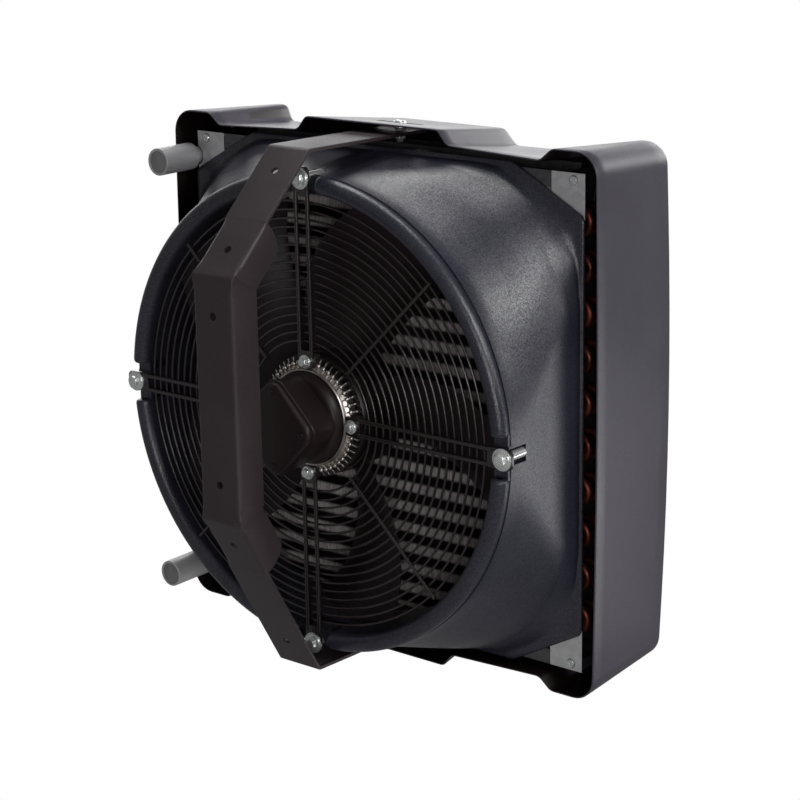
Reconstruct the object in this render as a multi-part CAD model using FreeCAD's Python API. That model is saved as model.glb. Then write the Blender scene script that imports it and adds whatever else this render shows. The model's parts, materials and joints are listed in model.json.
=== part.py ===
import FreeCAD, Part
import math
import os

# Wall-hung hot-water fan heater, millimetres.
# Everything is drawn about the fan axis: x = 0 and z = 0 on that axis, y = 0 at the back of the
# guard's bolt heads, +Y towards the wall and -Y towards the room, +Z up.
# At the end each piece moves so that the origin is the centre of the bracket's wall face.

V = FreeCAD.Vector

# ---- driving dimensions ----
CASE_BACK = -126.0       # y of the casing's open rear edge
CASE_FRONT = -286.0      # y of the casing's front face
CASE_WALL = 2.0
CASE_FACE = 3.0          # thickness of the casing's front face
# one quarter of the casing's outline as (x, z, corner radius): side and corner pad, pad's inner
# edge, hollow beside the pad, hollow beside the bridge, raised bridge over the bracket arm
REAR_OUTLINE = [(308.6, 311.0, 28.0), (250.0, 311.0, 14.0), (234.0, 297.3, 12.0),
                (110.0, 302.4, 12.0), (97.0, 318.5, 10.0)]
FRONT_OUTLINE = [(298.0, 304.5, 27.0), (262.0, 304.5, 9.0), (255.0, 284.5, 9.0),
                 (94.0, 283.0, 12.0), (76.0, 302.0, 12.0)]
REAR_SIDE = 313.6        # where the two flat halves of each gently bowed side would meet
FRONT_SIDE = 311.8
SIDE_RUN = 230.0         # half height of the bowed stretch
FRONT_DROP = 4.0         # the front outline sits this much lower than the rear one
FRONT_OPENING = 528.0
FRONT_CORNER = 24.0
SLOT_HALF = 28.5         # half length of the arc-end slots for the pivot bolts
SLOT_R = 5.5

GUARD_BOLT_R = 272.5     # radius of the guard's four fixing bolts
GUARD_Y = -10.5          # plane of the guard's ring wires
RING_PITCH = 9.9
RING_COUNT = 17
RING_OUTER_R = 246.0
RING_WIRE = 3.0
SPOKE_WIRE = 5.0
SPOKE_GAP = 17.0         # between the two rods of a spoke
SPACER_FLOOR_Y = -42.0

LIP_OUT_R = 277.5        # rolled rear edge of the shroud
LIP_IN_R = 257.0
THROAT_R = 254.0
THROAT_END_Y = -96.0
SKIN = 3.0
SHROUD_BASE_Y = -137.0
SHROUD_HALF = 285.0
SHROUD_HIGH = 291.0
NOTCH_HALF = 23.0        # half width of the gap in the lip at each guard bolt
NOTCH_FLOOR_Y = -13.0
GROOVE_HALF = 9.5        # half width of the groove that holds each spacer

COIL_BACK = -140.0
COIL_DEPTH = 60.0
COIL_HALF_W = 284.0
COIL_HALF_H = 284.5
END_PLATE_X = 261.5
CORNER_TAB_X = 240.5      # inner end of the end plates' corner tabs
CORNER_TAB_H = 62.0
FRAME_SCREW_X = 269.3
FRAME_SCREW_Z = 276.5
TUBE_PITCH = 25.4
TUBE_ROW_GAP = 22.0
TUBE_R = 4.76
TUBE_PAIRS = 10
FIN_COUNT = 88
FIN_PITCH = 6.0
FIN_THICK = 0.5
SHEET = 1.5

HEADER_X = 288.0
HEADER_R = 10.0
STUB_X = 288.5
STUB_R = 16.5            # 1 inch pipe end
STUB_NECK_R = 10.5       # narrower part between the pipe end and its header
STUB_NECK_Y = -129.0
SUPPLY_END_Y = -62.5
RETURN_END_Y = -74.3
SUPPLY_Z = -268.0
RETURN_Z = 254.0

MOTOR_BOLT_R = 65.0
COVER_R = 53.0
BOX_DEPTH = 40.0          # depth of the square part of the terminal box
ROTOR_R = 69.0
FAN_TIP_R = 248.0
BLADE_COUNT = 5
BLADE_START = 44.0       # angle of the first blade from +X, degrees

PIVOT_Y = -181.0
ARM_W = 58.0
PLATE = 4.0
WALL_Y = 139.5           # wall face of the bracket
TOP_BEND = (11.0, 309.5) # y and z where the upper arm meets its slanted part
LOW_BEND = (19.5, -292.0)
TOP_TIP_Z = 305.0
LOW_TIP_Z = -300.0
WEB_TOP = 188.5
WEB_LOW = -85.0
FLANGE = 38.0
FLANGE_RUN = 73.0        # length of the side flange along each slanted part
WEB_HOLE_STEP = 188.0
HOLE_R = 4.5

LOUVRE_COUNT = 8
LOUVRE_PITCH = 65.0
LOUVRE_CHORD = 56.0
LOUVRE_THICK = 6.0
LOUVRE_Y = -252.0
LOUVRE_PIN_R = 3.0
FRAME_IN = 254.0         # half of the louvre frame's clear opening

WEB_MID_Z = (WEB_TOP + WEB_LOW) / 2
TO_WALL = V(0, -WALL_Y, -WEB_MID_Z)


# ---- helpers ----
def box(x0, x1, y0, y1, z0, z1):
    return Part.makeBox(x1 - x0, y1 - y0, z1 - z0, V(x0, y0, z0))


def rod(start, end, radius):
    axis = end - start
    return Part.makeCylinder(radius, axis.Length, start, axis)


def pipe(start, end, radius, wall):
    return rod(start, end, radius).cut(rod(start, end, radius - wall))


def hexagon(across, height, base, axis):
    corners = []
    for k in range(7):
        a = math.radians(60 * k)
        corners.append(V(across / math.sqrt(3) * math.cos(a), across / math.sqrt(3) * math.sin(a), 0))
    prism = Part.Face(Part.makePolygon(corners)).extrude(V(0, 0, height))
    prism.Placement = FreeCAD.Placement(base, FreeCAD.Rotation(V(0, 0, 1), axis))
    return prism


def rounded_wire(corners, radii, closed=True):
    """Straight runs joined by tangent arcs of the given radii at the corners."""
    n = len(corners)
    edges = []
    last = None
    first = None
    for i in range(n):
        p = corners[i]
        r = radii[i]
        if (not closed and i in (0, n - 1)) or r <= 0:
            enter, leave, middle = p, p, None
        else:
            a = (corners[i - 1] - p).normalize()
            b = (corners[(i + 1) % n] - p).normalize()
            half = a.getAngle(b) / 2
            run = r / math.tan(half)
            enter = p + a * run
            leave = p + b * run
            bisector = (a + b).normalize()
            middle = p + bisector * (r / math.sin(half) - r)
        if last is not None and (enter - last).Length > 1e-6:
            edges.append(Part.makeLine(last, enter))
        if middle is not None:
            edges.append(Part.Arc(enter, middle, leave).toShape())
        last = leave
        if first is None:
            first = enter
    if closed and (first - last).Length > 1e-6:
        edges.append(Part.makeLine(last, first))
    return Part.Wire(edges)


def prism(corners, radii, direction):
    return Part.Face(rounded_wire(corners, radii)).extrude(direction)


def mirror_x(shape):
    return shape.mirror(V(0, 0, 0), V(1, 0, 0))


def turned(shape, degrees, centre=V(0, 0, 0), axis=V(0, 1, 0)):
    copy = shape.copy()
    copy.rotate(centre, axis, degrees)
    return copy


def quarter_turns(shape, start=0):
    return [turned(shape, start + 90 * k) for k in range(4)]


def revolve_y(points):
    """Solid of revolution about the fan axis from (radius, y) points."""
    face = Part.Face(Part.makePolygon([V(r, y, 0) for r, y in points + points[:1]]))
    return face.revolve(V(0, 0, 0), V(0, 1, 0), 360)


def save(name, shapes):
    if not isinstance(shapes, list):
        shapes = [shapes]
    solids = []
    for shape in shapes:
        solids.extend(shape.Solids)
    whole = solids[0] if len(solids) == 1 else Part.makeCompound(solids)
    whole.translate(TO_WALL)
    whole.exportStep("parts/" + name + ".step")
    print(name, len(solids), "solids", round(whole.Volume / 1000, 1), "cm3", whole.isValid())


# ---- wall bracket ----
def offset_inward(points, depth):
    """Points of an open chain in the YZ plane moved to its inner side by depth."""
    moved = []
    for i, p in enumerate(points):
        normals = []
        for j in (i - 1, i):
            if 0 <= j < len(points) - 1:
                d = (points[j + 1] - points[j]).normalize()
                normals.append(V(0, d.z, -d.y))
        total = sum(normals[1:], normals[0])
        total.normalize()
        moved.append(p + total * (depth / total.dot(normals[0])))
    return moved


def bracket_chain():
    arm_end = PIVOT_Y - 13
    return [V(0, arm_end, TOP_TIP_Z), V(0, *TOP_BEND), V(0, WALL_Y, WEB_TOP),
            V(0, WALL_Y, WEB_LOW), V(0, *LOW_BEND), V(0, arm_end, LOW_TIP_Z)]


def arm_height(side):
    """Height of an arm's outer face at the pivot, side +1 for the upper arm."""
    bend, tip = (TOP_BEND, TOP_TIP_Z) if side > 0 else (LOW_BEND, LOW_TIP_Z)
    return tip + (bend[1] - tip) * 13 / (bend[0] - PIVOT_Y + 13)


def side_flange(bend, along, into):
    """Gusset flange beside a slanted part, from its bend towards the arm."""
    r = FLANGE_RUN
    f = FLANGE
    local = [(4, 0), (r, 0), (r + 2, f * 0.48), (r - 8, f), (12, f), (4, f * 0.45)]
    radii = [0, 2, 10, 12, 0, 0]
    corners = [bend + along * u + into * v for u, v in local]
    return prism(corners, radii, V(PLATE, 0, 0))


def wall_bracket():
    chain = bracket_chain()
    chain_in = offset_inward(chain, PLATE)
    bend = 9.0
    corners = chain + chain_in[::-1]
    radii = [0, bend, bend, bend, bend, 0, 0, bend - PLATE, bend - PLATE, bend - PLATE, bend - PLATE, 0]
    strip = prism(corners, radii, V(ARM_W, 0, 0))
    strip.translate(V(-ARM_W / 2, 0, 0))
    web = [V(0, WALL_Y - 1.5, WEB_LOW + 5), V(0, WALL_Y - 1.5, WEB_TOP - 5),
           V(0, WALL_Y - FLANGE, WEB_TOP - 12), V(0, WALL_Y - FLANGE, WEB_LOW + 12)]
    flanges = [prism(web, [0, 0, 3, 3], V(PLATE, 0, 0))]
    for i, j in ((2, 1), (3, 4)):
        along = (chain[j] - chain[i]).normalize()
        into = V(0, -along.z, along.y)
        if into.y > 0:
            into = into * -1
        flanges.append(side_flange(chain[i] + into * 1.5, along, into))
    piece = strip
    for flange in flanges:
        flange.translate(V(ARM_W / 2 - PLATE, 0, 0))
        piece = piece.fuse(flange).fuse(mirror_x(flange))
    piece = piece.removeSplitter()
    cuts = []
    for end in (chain[0], chain[5]):
        cuts.append(rod(V(0, PIVOT_Y, end.z - 12), V(0, PIVOT_Y, end.z + 12), 4.05))
    for sign in (-1, 1):
        z = WEB_MID_Z + sign * WEB_HOLE_STEP / 2
        cuts.append(rod(V(0, WALL_Y - 12, z), V(0, WALL_Y + 12, z), HOLE_R))
    for i, j, inset in ((2, 1, 33.5), (3, 4, 43.0)):
        along = (chain[j] - chain[i])
        length = along.Length
        along.normalize()
        across = V(0, -along.z, along.y)
        for run in (36.5, length - inset):
            spot = chain[i] + along * run
            cuts.append(rod(spot - across * 12, spot + across * 12, HOLE_R))
    for tool in cuts:
        piece = piece.cut(tool)
    return piece


# ---- casing ----
def between(y, rear, front):
    """Value at depth y of something that changes evenly from the casing's rear to its front."""
    return rear + (front - rear) * (CASE_BACK - y) / (CASE_BACK - CASE_FRONT)


def bridge_height(y, side):
    """Outside height of the bridge at depth y, side +1 on top and -1 below."""
    return between(y, side * REAR_OUTLINE[4][1], side * FRONT_OUTLINE[4][1] - FRONT_DROP)


def bridge_outward(side):
    """Direction square to the bridge's sloping face, pointing out of the casing."""
    rise = (bridge_height(CASE_BACK, side) - bridge_height(CASE_FRONT, side)) / (CASE_BACK - CASE_FRONT)
    return V(0, -rise * side, side).normalize()


def case_outline(y):
    half = []
    for rear, front in zip(REAR_OUTLINE, FRONT_OUTLINE):
        half.append([between(y, a, b) for a, b in zip(rear, front)])
    drop = between(y, 0, FRONT_DROP)
    right_top = [(x, z, r) for x, z, r in half]
    left_top = [(-x, z, r) for x, z, r in half[::-1]]
    left_low = [(-x, -z, r) for x, z, r in half]
    right_low = [(x, -z, r) for x, z, r in half[::-1]]
    side = between(y, REAR_SIDE, FRONT_SIDE)
    radius = SIDE_RUN * half[0][1] / (side - half[0][0])
    loop = right_top + left_top + [(-side, 0, radius)] + left_low + right_low + [(side, 0, radius)]
    return rounded_wire([V(x, y, z - drop) for x, z, r in loop], [r for x, z, r in loop])


def case_loft(inset, y_back, y_front):
    wires = []
    for y in (y_back, y_front):
        wire = case_outline(y)
        if inset:
            wire = wire.makeOffset2D(-inset)
        wires.append(wire)
    return Part.makeLoft(wires, True, True)


def front_edge_rounded(shell, radius):
    rim = []
    for edge in shell.Edges:
        if edge.BoundBox.YMax < CASE_FRONT + 0.01 and edge.BoundBox.YMin > CASE_FRONT - 0.01:
            rim.append(edge)
    return shell.makeFillet(radius, rim)


def casing():
    outer = front_edge_rounded(case_loft(0, CASE_BACK, CASE_FRONT), 9.0)
    inner = case_loft(CASE_WALL, CASE_BACK + 0.01, CASE_FRONT + CASE_FACE)
    shell = outer.cut(inner)
    h = FRONT_OPENING / 2
    mouth = prism([V(-h, CASE_FRONT - 5, -h), V(h, CASE_FRONT - 5, -h), V(h, CASE_FRONT - 5, h),
                   V(-h, CASE_FRONT - 5, h)], [FRONT_CORNER] * 4, V(0, 20, 0))
    shell = shell.cut(mouth)
    for z in (bridge_height(PIVOT_Y, 1), bridge_height(PIVOT_Y, -1)):
        slot = box(-SLOT_HALF, SLOT_HALF, PIVOT_Y - SLOT_R, PIVOT_Y + SLOT_R, z - 12, z + 12)
        for x in (-SLOT_HALF, SLOT_HALF):
            slot = slot.fuse(rod(V(x, PIVOT_Y, z - 12), V(x, PIVOT_Y, z + 12), SLOT_R))
        shell = shell.cut(slot)
    return shell


# ---- front frame and louvres ----
def louvre_height(index):
    return (index - (LOUVRE_COUNT - 1) / 2) * LOUVRE_PITCH


def louvre_frame():
    out = FRAME_IN + 8
    back = LOUVRE_Y + 36
    ring = box(-out, out, CASE_FRONT + CASE_FACE, back, -out, out)
    ring = ring.cut(box(-FRAME_IN, FRAME_IN, CASE_FRONT - 5, back + 5, -FRAME_IN, FRAME_IN))
    edge = out + 12
    face = CASE_FRONT + CASE_FACE
    rim = box(-edge, edge, face, face + 3, -edge, edge).cut(box(-out, out, face - 3, face + 6, -out, out))
    ring = ring.fuse(rim).removeSplitter()
    for i in range(LOUVRE_COUNT):
        z = louvre_height(i)
        ring = ring.cut(rod(V(-out - 1, LOUVRE_Y, z), V(out + 1, LOUVRE_Y, z), LOUVRE_PIN_R + 2.5))
    return ring


def louvre_bushes():
    bushes = []
    for i in range(LOUVRE_COUNT):
        z = louvre_height(i)
        for x0, x1 in ((FRAME_IN, FRAME_IN + 8), (-FRAME_IN - 8, -FRAME_IN)):
            outer = rod(V(x0, LOUVRE_Y, z), V(x1, LOUVRE_Y, z), LOUVRE_PIN_R + 2.5)
            bushes.append(outer.cut(rod(V(x0, LOUVRE_Y, z), V(x1, LOUVRE_Y, z), LOUVRE_PIN_R + 0.08)))
    return bushes


def louvre(index):
    z = louvre_height(index)
    half = LOUVRE_CHORD / 2
    t = LOUVRE_THICK / 2
    nose = V(0, LOUVRE_Y - half, z)
    tail = V(0, LOUVRE_Y + half, z)
    top = Part.Arc(nose, V(0, LOUVRE_Y, z + t), tail).toShape()
    low = Part.Arc(tail, V(0, LOUVRE_Y, z - t), nose).toShape()
    blade = Part.Face(Part.Wire([top, low])).extrude(V(2 * FRAME_IN - 3, 0, 0))
    blade.translate(V(-FRAME_IN + 1.5, 0, 0))
    pin = rod(V(-FRAME_IN - 7, LOUVRE_Y, z), V(FRAME_IN + 7, LOUVRE_Y, z), LOUVRE_PIN_R)
    return blade.fuse(pin)


# ---- coil ----
def tube_rows():
    middle = COIL_BACK - COIL_DEPTH / 2
    return (middle + TUBE_ROW_GAP / 2, middle - TUBE_ROW_GAP / 2)


def pair_heights():
    return [(k - (TUBE_PAIRS - 1) / 2) * 2 * TUBE_PITCH for k in range(TUBE_PAIRS)]


def tube_heights():
    heights = []
    for z in pair_heights():
        heights += [z - TUBE_PITCH / 2, z + TUBE_PITCH / 2]
    return heights


def channel(length_axis):
    """Sheet channel: a web with two outward flanges, for one side of the coil."""
    front = COIL_BACK - COIL_DEPTH
    if length_axis == "z":
        web = box(END_PLATE_X, END_PLATE_X + SHEET, front, COIL_BACK, -COIL_HALF_H, COIL_HALF_H)
        for y in (front, COIL_BACK - SHEET):
            web = web.fuse(box(END_PLATE_X, COIL_HALF_W, y, y + SHEET, -COIL_HALF_H, COIL_HALF_H))
        for z in (-COIL_HALF_H, COIL_HALF_H - CORNER_TAB_H):
            web = web.fuse(box(CORNER_TAB_X, COIL_HALF_W, COIL_BACK - SHEET, COIL_BACK, z, z + CORNER_TAB_H))
    else:
        low = COIL_HALF_H - 18
        reach = CORNER_TAB_X - 1.0
        web = box(-reach, reach, front, COIL_BACK, low, low + SHEET)
        for y in (front, COIL_BACK - SHEET):
            web = web.fuse(box(-reach, reach, y, y + SHEET, low, COIL_HALF_H))
    return web.removeSplitter()


def end_plate(side):
    plate = channel("z")
    for z in (-FRAME_SCREW_Z, FRAME_SCREW_Z):
        plate = plate.cut(rod(V(FRAME_SCREW_X, COIL_BACK - 10, z), V(FRAME_SCREW_X, COIL_BACK + 5, z), 2.1))
    for y in tube_rows():
        for z in tube_heights():
            plate = plate.cut(rod(V(END_PLATE_X - 3, y, z), V(END_PLATE_X + 5, y, z), TUBE_R))
    if side > 0:
        # the supply and return pipes pass through cut-outs in the rear flange
        for z in (SUPPLY_Z, RETURN_Z):
            hole = rod(V(STUB_X, COIL_BACK - 20, z), V(STUB_X, COIL_BACK + 5, z), STUB_NECK_R + 2)
            plate = plate.cut(hole)
        return plate
    return mirror_x(plate)


def coil_tubes():
    tubes = []
    reach = END_PLATE_X + SHEET + 1
    for y in tube_rows():
        for z in tube_heights():
            tubes.append(pipe(V(-reach, y, z), V(reach, y, z), TUBE_R, 0.5))
    return tubes


def return_bend(centre, radius, across, outward):
    """Half ring in the plane of across and outward, with short straight legs."""
    leg = outward * 2.0
    start = centre + across * radius
    end = centre - across * radius
    path = Part.Wire([Part.makeLine(start, start + leg),
                      Part.Arc(start + leg, centre + leg + outward * radius, end + leg).toShape(),
                      Part.makeLine(end + leg, end)])
    ring = Part.Wire(Part.makeCircle(TUBE_R + 0.4, start, outward))
    return path.makePipeShell([ring], True, False)


def right_bends():
    bends = []
    face = END_PLATE_X + SHEET + 1
    for y in tube_rows():
        for z in pair_heights():
            bends.append(return_bend(V(-face, y, z), TUBE_PITCH / 2, V(0, 0, 1), V(-1, 0, 0)))
    return bends


def left_bends():
    bends = []
    middle = COIL_BACK - COIL_DEPTH / 2
    for z in pair_heights():
        face = V(END_PLATE_X + SHEET + 1, middle, z + TUBE_PITCH / 2)
        half_ring = Part.makeTorus(TUBE_ROW_GAP / 2, TUBE_R, face, V(0, 0, 1), 0, 360)
        keep = box(face.x, face.x + 40, middle - 30, middle + 30, face.z - 10, face.z + 10)
        bends.append(half_ring.common(keep))
    return bends


def fins():
    plates = []
    middle = COIL_BACK - COIL_DEPTH / 2
    half_h = TUBE_PAIRS * TUBE_PITCH
    start = -(FIN_COUNT - 1) / 2 * FIN_PITCH
    for k in range(FIN_COUNT):
        x = start + k * FIN_PITCH
        plates.append(box(x - FIN_THICK / 2, x + FIN_THICK / 2, middle - 22, middle + 22, -half_h, half_h))
    return plates


def header(row_y, low, high):
    body = rod(V(HEADER_X, row_y, low), V(HEADER_X, row_y, high), HEADER_R)
    body = body.cut(rod(V(HEADER_X, row_y, low + 1.5), V(HEADER_X, row_y, high - 1.5), HEADER_R - 1.2))
    return body


def feeders(row_y):
    nipples = []
    for z in pair_heights():
        level = z - TUBE_PITCH / 2
        nipples.append(rod(V(END_PLATE_X + SHEET + 1, row_y, level), V(HEADER_X - HEADER_R + 1, row_y, level),
                           TUBE_R))
    return nipples


def stub(z, row_y, end_y):
    """Pipe end with a narrower neck that runs on to the header."""
    neck = revolve_y([(STUB_NECK_R - 1.5, row_y), (STUB_NECK_R, row_y), (STUB_NECK_R, STUB_NECK_Y - 6),
                      (STUB_R, STUB_NECK_Y), (STUB_R, end_y), (STUB_R - 3, end_y),
                      (STUB_R - 3, STUB_NECK_Y), (STUB_NECK_R - 1.5, STUB_NECK_Y - 6)])
    neck.translate(V(STUB_X, 0, z))
    return neck


def stub_plug(z, end_y):
    return rod(V(STUB_X, end_y - 16, z), V(STUB_X, end_y - 0.6, z), STUB_R - 3)


# ---- shroud ----
def bell_wire(y, half_w, half_h, radius):
    corners = [V(half_w, y, half_h), V(-half_w, y, half_h), V(-half_w, y, -half_h), V(half_w, y, -half_h)]
    return rounded_wire(corners, [radius] * 4)


def bell_solid(inset):
    sections = [(SHROUD_BASE_Y, 282.0, 284.0, 150.0), (-112.0, 281.0, 282.5, 168.0),
                (-84.0, 279.5, 280.5, 200.0), (-56.0, 278.0, 278.0, 240.0), (-26.0, 276.0, 276.0, 272.0)]
    wires = []
    for y, half_w, half_h, radius in sections:
        wires.append(bell_wire(y, half_w - inset, half_h - inset, radius - inset))
    return Part.makeLoft(wires, True, False)


def lip_ring():
    """Rolled edge and throat, drawn as one skin turned about the fan axis."""
    mid = (LIP_OUT_R + LIP_IN_R) / 2
    bead = (LIP_OUT_R - LIP_IN_R) / 2
    crest_y = -bead - 0.5
    neck = 276.0

    def bead_point(radius, degrees):
        a = math.radians(degrees)
        return V(mid + radius * math.cos(a), crest_y + radius * math.sin(a), 0)

    outer = Part.Arc(bead_point(bead, -25), bead_point(bead, 90), bead_point(bead, 180)).toShape()
    inner = Part.Arc(bead_point(bead - SKIN, 180), bead_point(bead - SKIN, 90),
                     bead_point(bead - SKIN, -25)).toShape()
    p_in = bead_point(bead, 180)
    p_in2 = bead_point(bead - SKIN, 180)
    p_out = bead_point(bead, -25)
    p_out2 = bead_point(bead - SKIN, -25)
    throat = V(THROAT_R, crest_y - 34, 0)
    end = V(THROAT_R, THROAT_END_Y, 0)
    step = V(SKIN, 0, 0)
    bell_in = Part.BezierCurve()
    bell_in.setPoles([p_in, p_in - V(0, 14, 0), throat + V(0, 12, 0), throat])
    bell_out = Part.BezierCurve()
    bell_out.setPoles([throat + step, throat + step + V(0, 12, 0), p_in2 - V(0, 14, 0), p_in2])
    groove = V(neck - 2, p_out.y - 4, 0)
    edges = [outer, bell_in.toShape(), Part.makeLine(throat, end), Part.makeLine(end, end + step),
             Part.makeLine(end + step, throat + step), bell_out.toShape(), inner,
             Part.makeLine(p_out2, groove - step), Part.makeLine(groove - step, V(neck - SKIN, -28, 0)),
             Part.makeLine(V(neck - SKIN, -28, 0), V(neck, -28, 0)), Part.makeLine(V(neck, -28, 0), groove),
             Part.makeLine(groove, p_out)]
    face = Part.Face(Part.Wire(Part.__sortEdges__(edges)))
    return face.revolve(V(0, 0, 0), V(0, 1, 0), 360)


def shroud_flange():
    w = SHROUD_HALF
    h = SHROUD_HIGH
    cx = 95.0
    cz = 53.0
    loop = [(w - cx, h), (-w + cx, h), (-w, h - cz), (-w, -h + cz), (-w + cx, -h), (w - cx, -h),
            (w, -h + cz), (w, h - cz)]
    corners = [V(x, SHROUD_BASE_Y - SKIN, z) for x, z in loop]
    plate = prism(corners, [6.0] * 8, V(0, SKIN, 0))
    raised = [V(x * 0.965, SHROUD_BASE_Y, z * 0.965) for x, z in loop]
    return plate.fuse(prism(raised, [6.0] * 8, V(0, 4.5, 0)))


def spacer_groove():
    """Round-sided space for the spacer at the +X bolt, open to the notch and to the outside."""
    outside = LIP_OUT_R + 8
    inside = GUARD_BOLT_R - GROOVE_HALF
    corners = [V(inside, SPACER_FLOOR_Y, -GROOVE_HALF), V(outside, SPACER_FLOOR_Y, -GROOVE_HALF),
               V(outside, SPACER_FLOOR_Y, GROOVE_HALF), V(inside, SPACER_FLOOR_Y, GROOVE_HALF)]
    return prism(corners, [GROOVE_HALF - 0.1, 0, 0, GROOVE_HALF - 0.1], V(0, 6 - SPACER_FLOOR_Y, 0))


def lip_notch():
    half = NOTCH_HALF
    return box(LIP_IN_R - 8, LIP_OUT_R + 8, NOTCH_FLOOR_Y, 6.0, -half, half)


def notch_block():
    """Solid floor under the notch and round the groove."""
    inside = LIP_IN_R - 1.5
    outside = LIP_OUT_R + 8
    floor = box(inside, outside, NOTCH_FLOOR_Y - SKIN, NOTCH_FLOOR_Y, -NOTCH_HALF - SKIN, NOTCH_HALF + SKIN)
    wall = GROOVE_HALF + SKIN
    return floor.fuse(box(GUARD_BOLT_R - wall, outside, SPACER_FLOOR_Y - 14, NOTCH_FLOOR_Y, -wall, wall))


def guard_nut_block():
    return hexagon(8.0, 12.0, V(GUARD_BOLT_R, SPACER_FLOOR_Y - 5, 0), V(0, -1, 0))


def shroud():
    outer = bell_solid(0)
    inner = bell_solid(SKIN)
    flange = shroud_flange()
    body = outer.fuse(flange).cut(inner)
    body = body.cut(box(-400, 400, SHROUD_BASE_Y - 6, SHROUD_BASE_Y + 0.5, -400, 400).common(
        Part.Face(bell_wire(SHROUD_BASE_Y - 6, 279.0, 281.0, 147.0)).extrude(V(0, 6.6, 0))))
    mouth = rod(V(0, -40, 0), V(0, 5, 0), 276.0 - SKIN)
    body = body.cut(mouth)
    body = body.fuse(lip_ring())
    envelope = outer.fuse(rod(V(0, -30, 0), V(0, -10, 0), 274.5))
    for block in quarter_turns(notch_block()):
        body = body.fuse(block.common(envelope))
    bolt_hole = rod(V(GUARD_BOLT_R, SPACER_FLOOR_Y - 20, 0), V(GUARD_BOLT_R, 0, 0), 2.7)
    gap = spacer_groove().fuse(lip_notch()).fuse(bolt_hole).fuse(guard_nut_block())
    for tool in quarter_turns(gap):
        body = body.cut(tool)
    return body.removeSplitter()


# ---- guard and its fixings ----
def guard_rings():
    rings = []
    for k in range(RING_COUNT):
        radius = RING_OUTER_R - k * RING_PITCH
        rings.append(Part.makeTorus(radius, RING_WIRE / 2, V(0, GUARD_Y, 0), V(0, 1, 0)))
    return rings


def guard_spokes():
    spokes = []
    y = GUARD_Y + (RING_WIRE + SPOKE_WIRE) / 2 - 0.4
    for z in (-SPOKE_GAP / 2, SPOKE_GAP / 2):
        spokes.append(rod(V(MOTOR_BOLT_R + 9, y, z), V(GUARD_BOLT_R - 13.5, y, z), SPOKE_WIRE / 2))
    spoke = spokes[0].fuse(spokes[1])
    for radius, inner_reach, outer_reach in ((GUARD_BOLT_R, 20.0, 13.0), (MOTOR_BOLT_R, 8.0, 13.0)):
        r = 11.0
        inward = radius - inner_reach
        outward = radius + outer_reach
        tab = prism([V(inward, y - 1.5, -r), V(outward, y - 1.5, -r), V(outward, y - 1.5, r),
                     V(inward, y - 1.5, r)], [3, 6, 6, 3], V(0, 3, 0))
        tab = tab.cut(rod(V(radius, y - 9, 0), V(radius, y + 9, 0), 3.3))
        spoke = spoke.fuse(tab)
    inner_r = RING_OUTER_R - (RING_COUNT - 1) * RING_PITCH
    stay = rod(V(inner_r - 3, y - 0.5, 0), V(252, y - 0.5, 0), 2.0)
    return quarter_turns(spoke) + quarter_turns(stay, 45)


def tab_face():
    return GUARD_Y + (RING_WIRE + SPOKE_WIRE) / 2 - 0.4 + 1.5


def hex_bolt(radius, head_y, length, across, shank_r):
    """Hex flange bolt whose head rests at head_y, pointing to -Y."""
    spot = V(radius, head_y, 0)
    flange = Part.makeCone(across * 0.78, across * 0.55, 2.0, spot, V(0, 1, 0))
    head = hexagon(across, 4.8, spot + V(0, 1.0, 0), V(0, 1, 0))
    dome = Part.makeSphere(across * 0.98, spot + V(0, 6.6 - across * 0.98, 0))
    head = head.common(dome)
    shank = rod(spot - V(0, length, 0), spot + V(0, 0.5, 0), shank_r)
    return flange.fuse(head).fuse(shank)


def washer(radius, y, outer_r, hole_r, thick):
    return rod(V(radius, y, 0), V(radius, y + thick, 0), outer_r).cut(
        rod(V(radius, y, 0), V(radius, y + thick, 0), hole_r))


# ---- motor ----
def motor_stator():
    """Cast stator flange with radial cooling fins and four fixing lugs."""
    face = tab_face() - 3.0
    seat = COVER_R + 0.4
    disc = revolve_y([(0, face - 16), (58, face - 16), (60, face - 9), (60, face - 3), (56, face),
                      (56, face + 3.5), (seat, face + 3.5), (seat, face + 0.9), (0, face + 0.9)])
    ribs = []
    count = 52
    for k in range(count):
        angle = 360.0 / count * k
        if abs((angle + 45) % 90 - 45) < 11:
            continue
        rib = prism([V(56, face - 14, 0), V(70, face - 14, 0), V(71.5, face - 8, 0), V(67, face - 2, 0),
                     V(56, face - 1, 0)], [0, 0, 2, 2, 0], V(0, 0, 2.6))
        rib.translate(V(0, 0, -1.3))
        ribs.append(turned(rib, angle))
    lug = prism([V(50, face - 12, -11), V(73, face - 12, -11), V(73, face - 12, 11), V(50, face - 12, 11)],
                [0, 5, 5, 0], V(0, 12, 0))
    piece = disc
    for block in quarter_turns(lug):
        piece = piece.fuse(block)
    piece = piece.multiFuse(ribs)
    piece = piece.cut(revolve_y([(0, face - 20), (44, face - 20), (44, face - 6), (0, face - 6)]))
    tube = rod(V(0, face - 78, 0), V(0, face - 5, 0), 15.0)
    piece = piece.fuse(tube).cut(rod(V(0, face - 80, 0), V(0, face - 4, 0), 11.0))
    for hole in quarter_turns(rod(V(MOTOR_BOLT_R, face - 20, 0), V(MOTOR_BOLT_R, face + 5, 0), 2.5)):
        piece = piece.cut(hole)
    return piece.removeSplitter()


def bearings():
    pair = []
    for y in (-24.0, -78.0):
        ring = rod(V(0, y, 0), V(0, y + 8, 0), 11.0)
        pair.append(ring.cut(rod(V(0, y, 0), V(0, y + 8, 0), 4.05)))
    return pair


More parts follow.
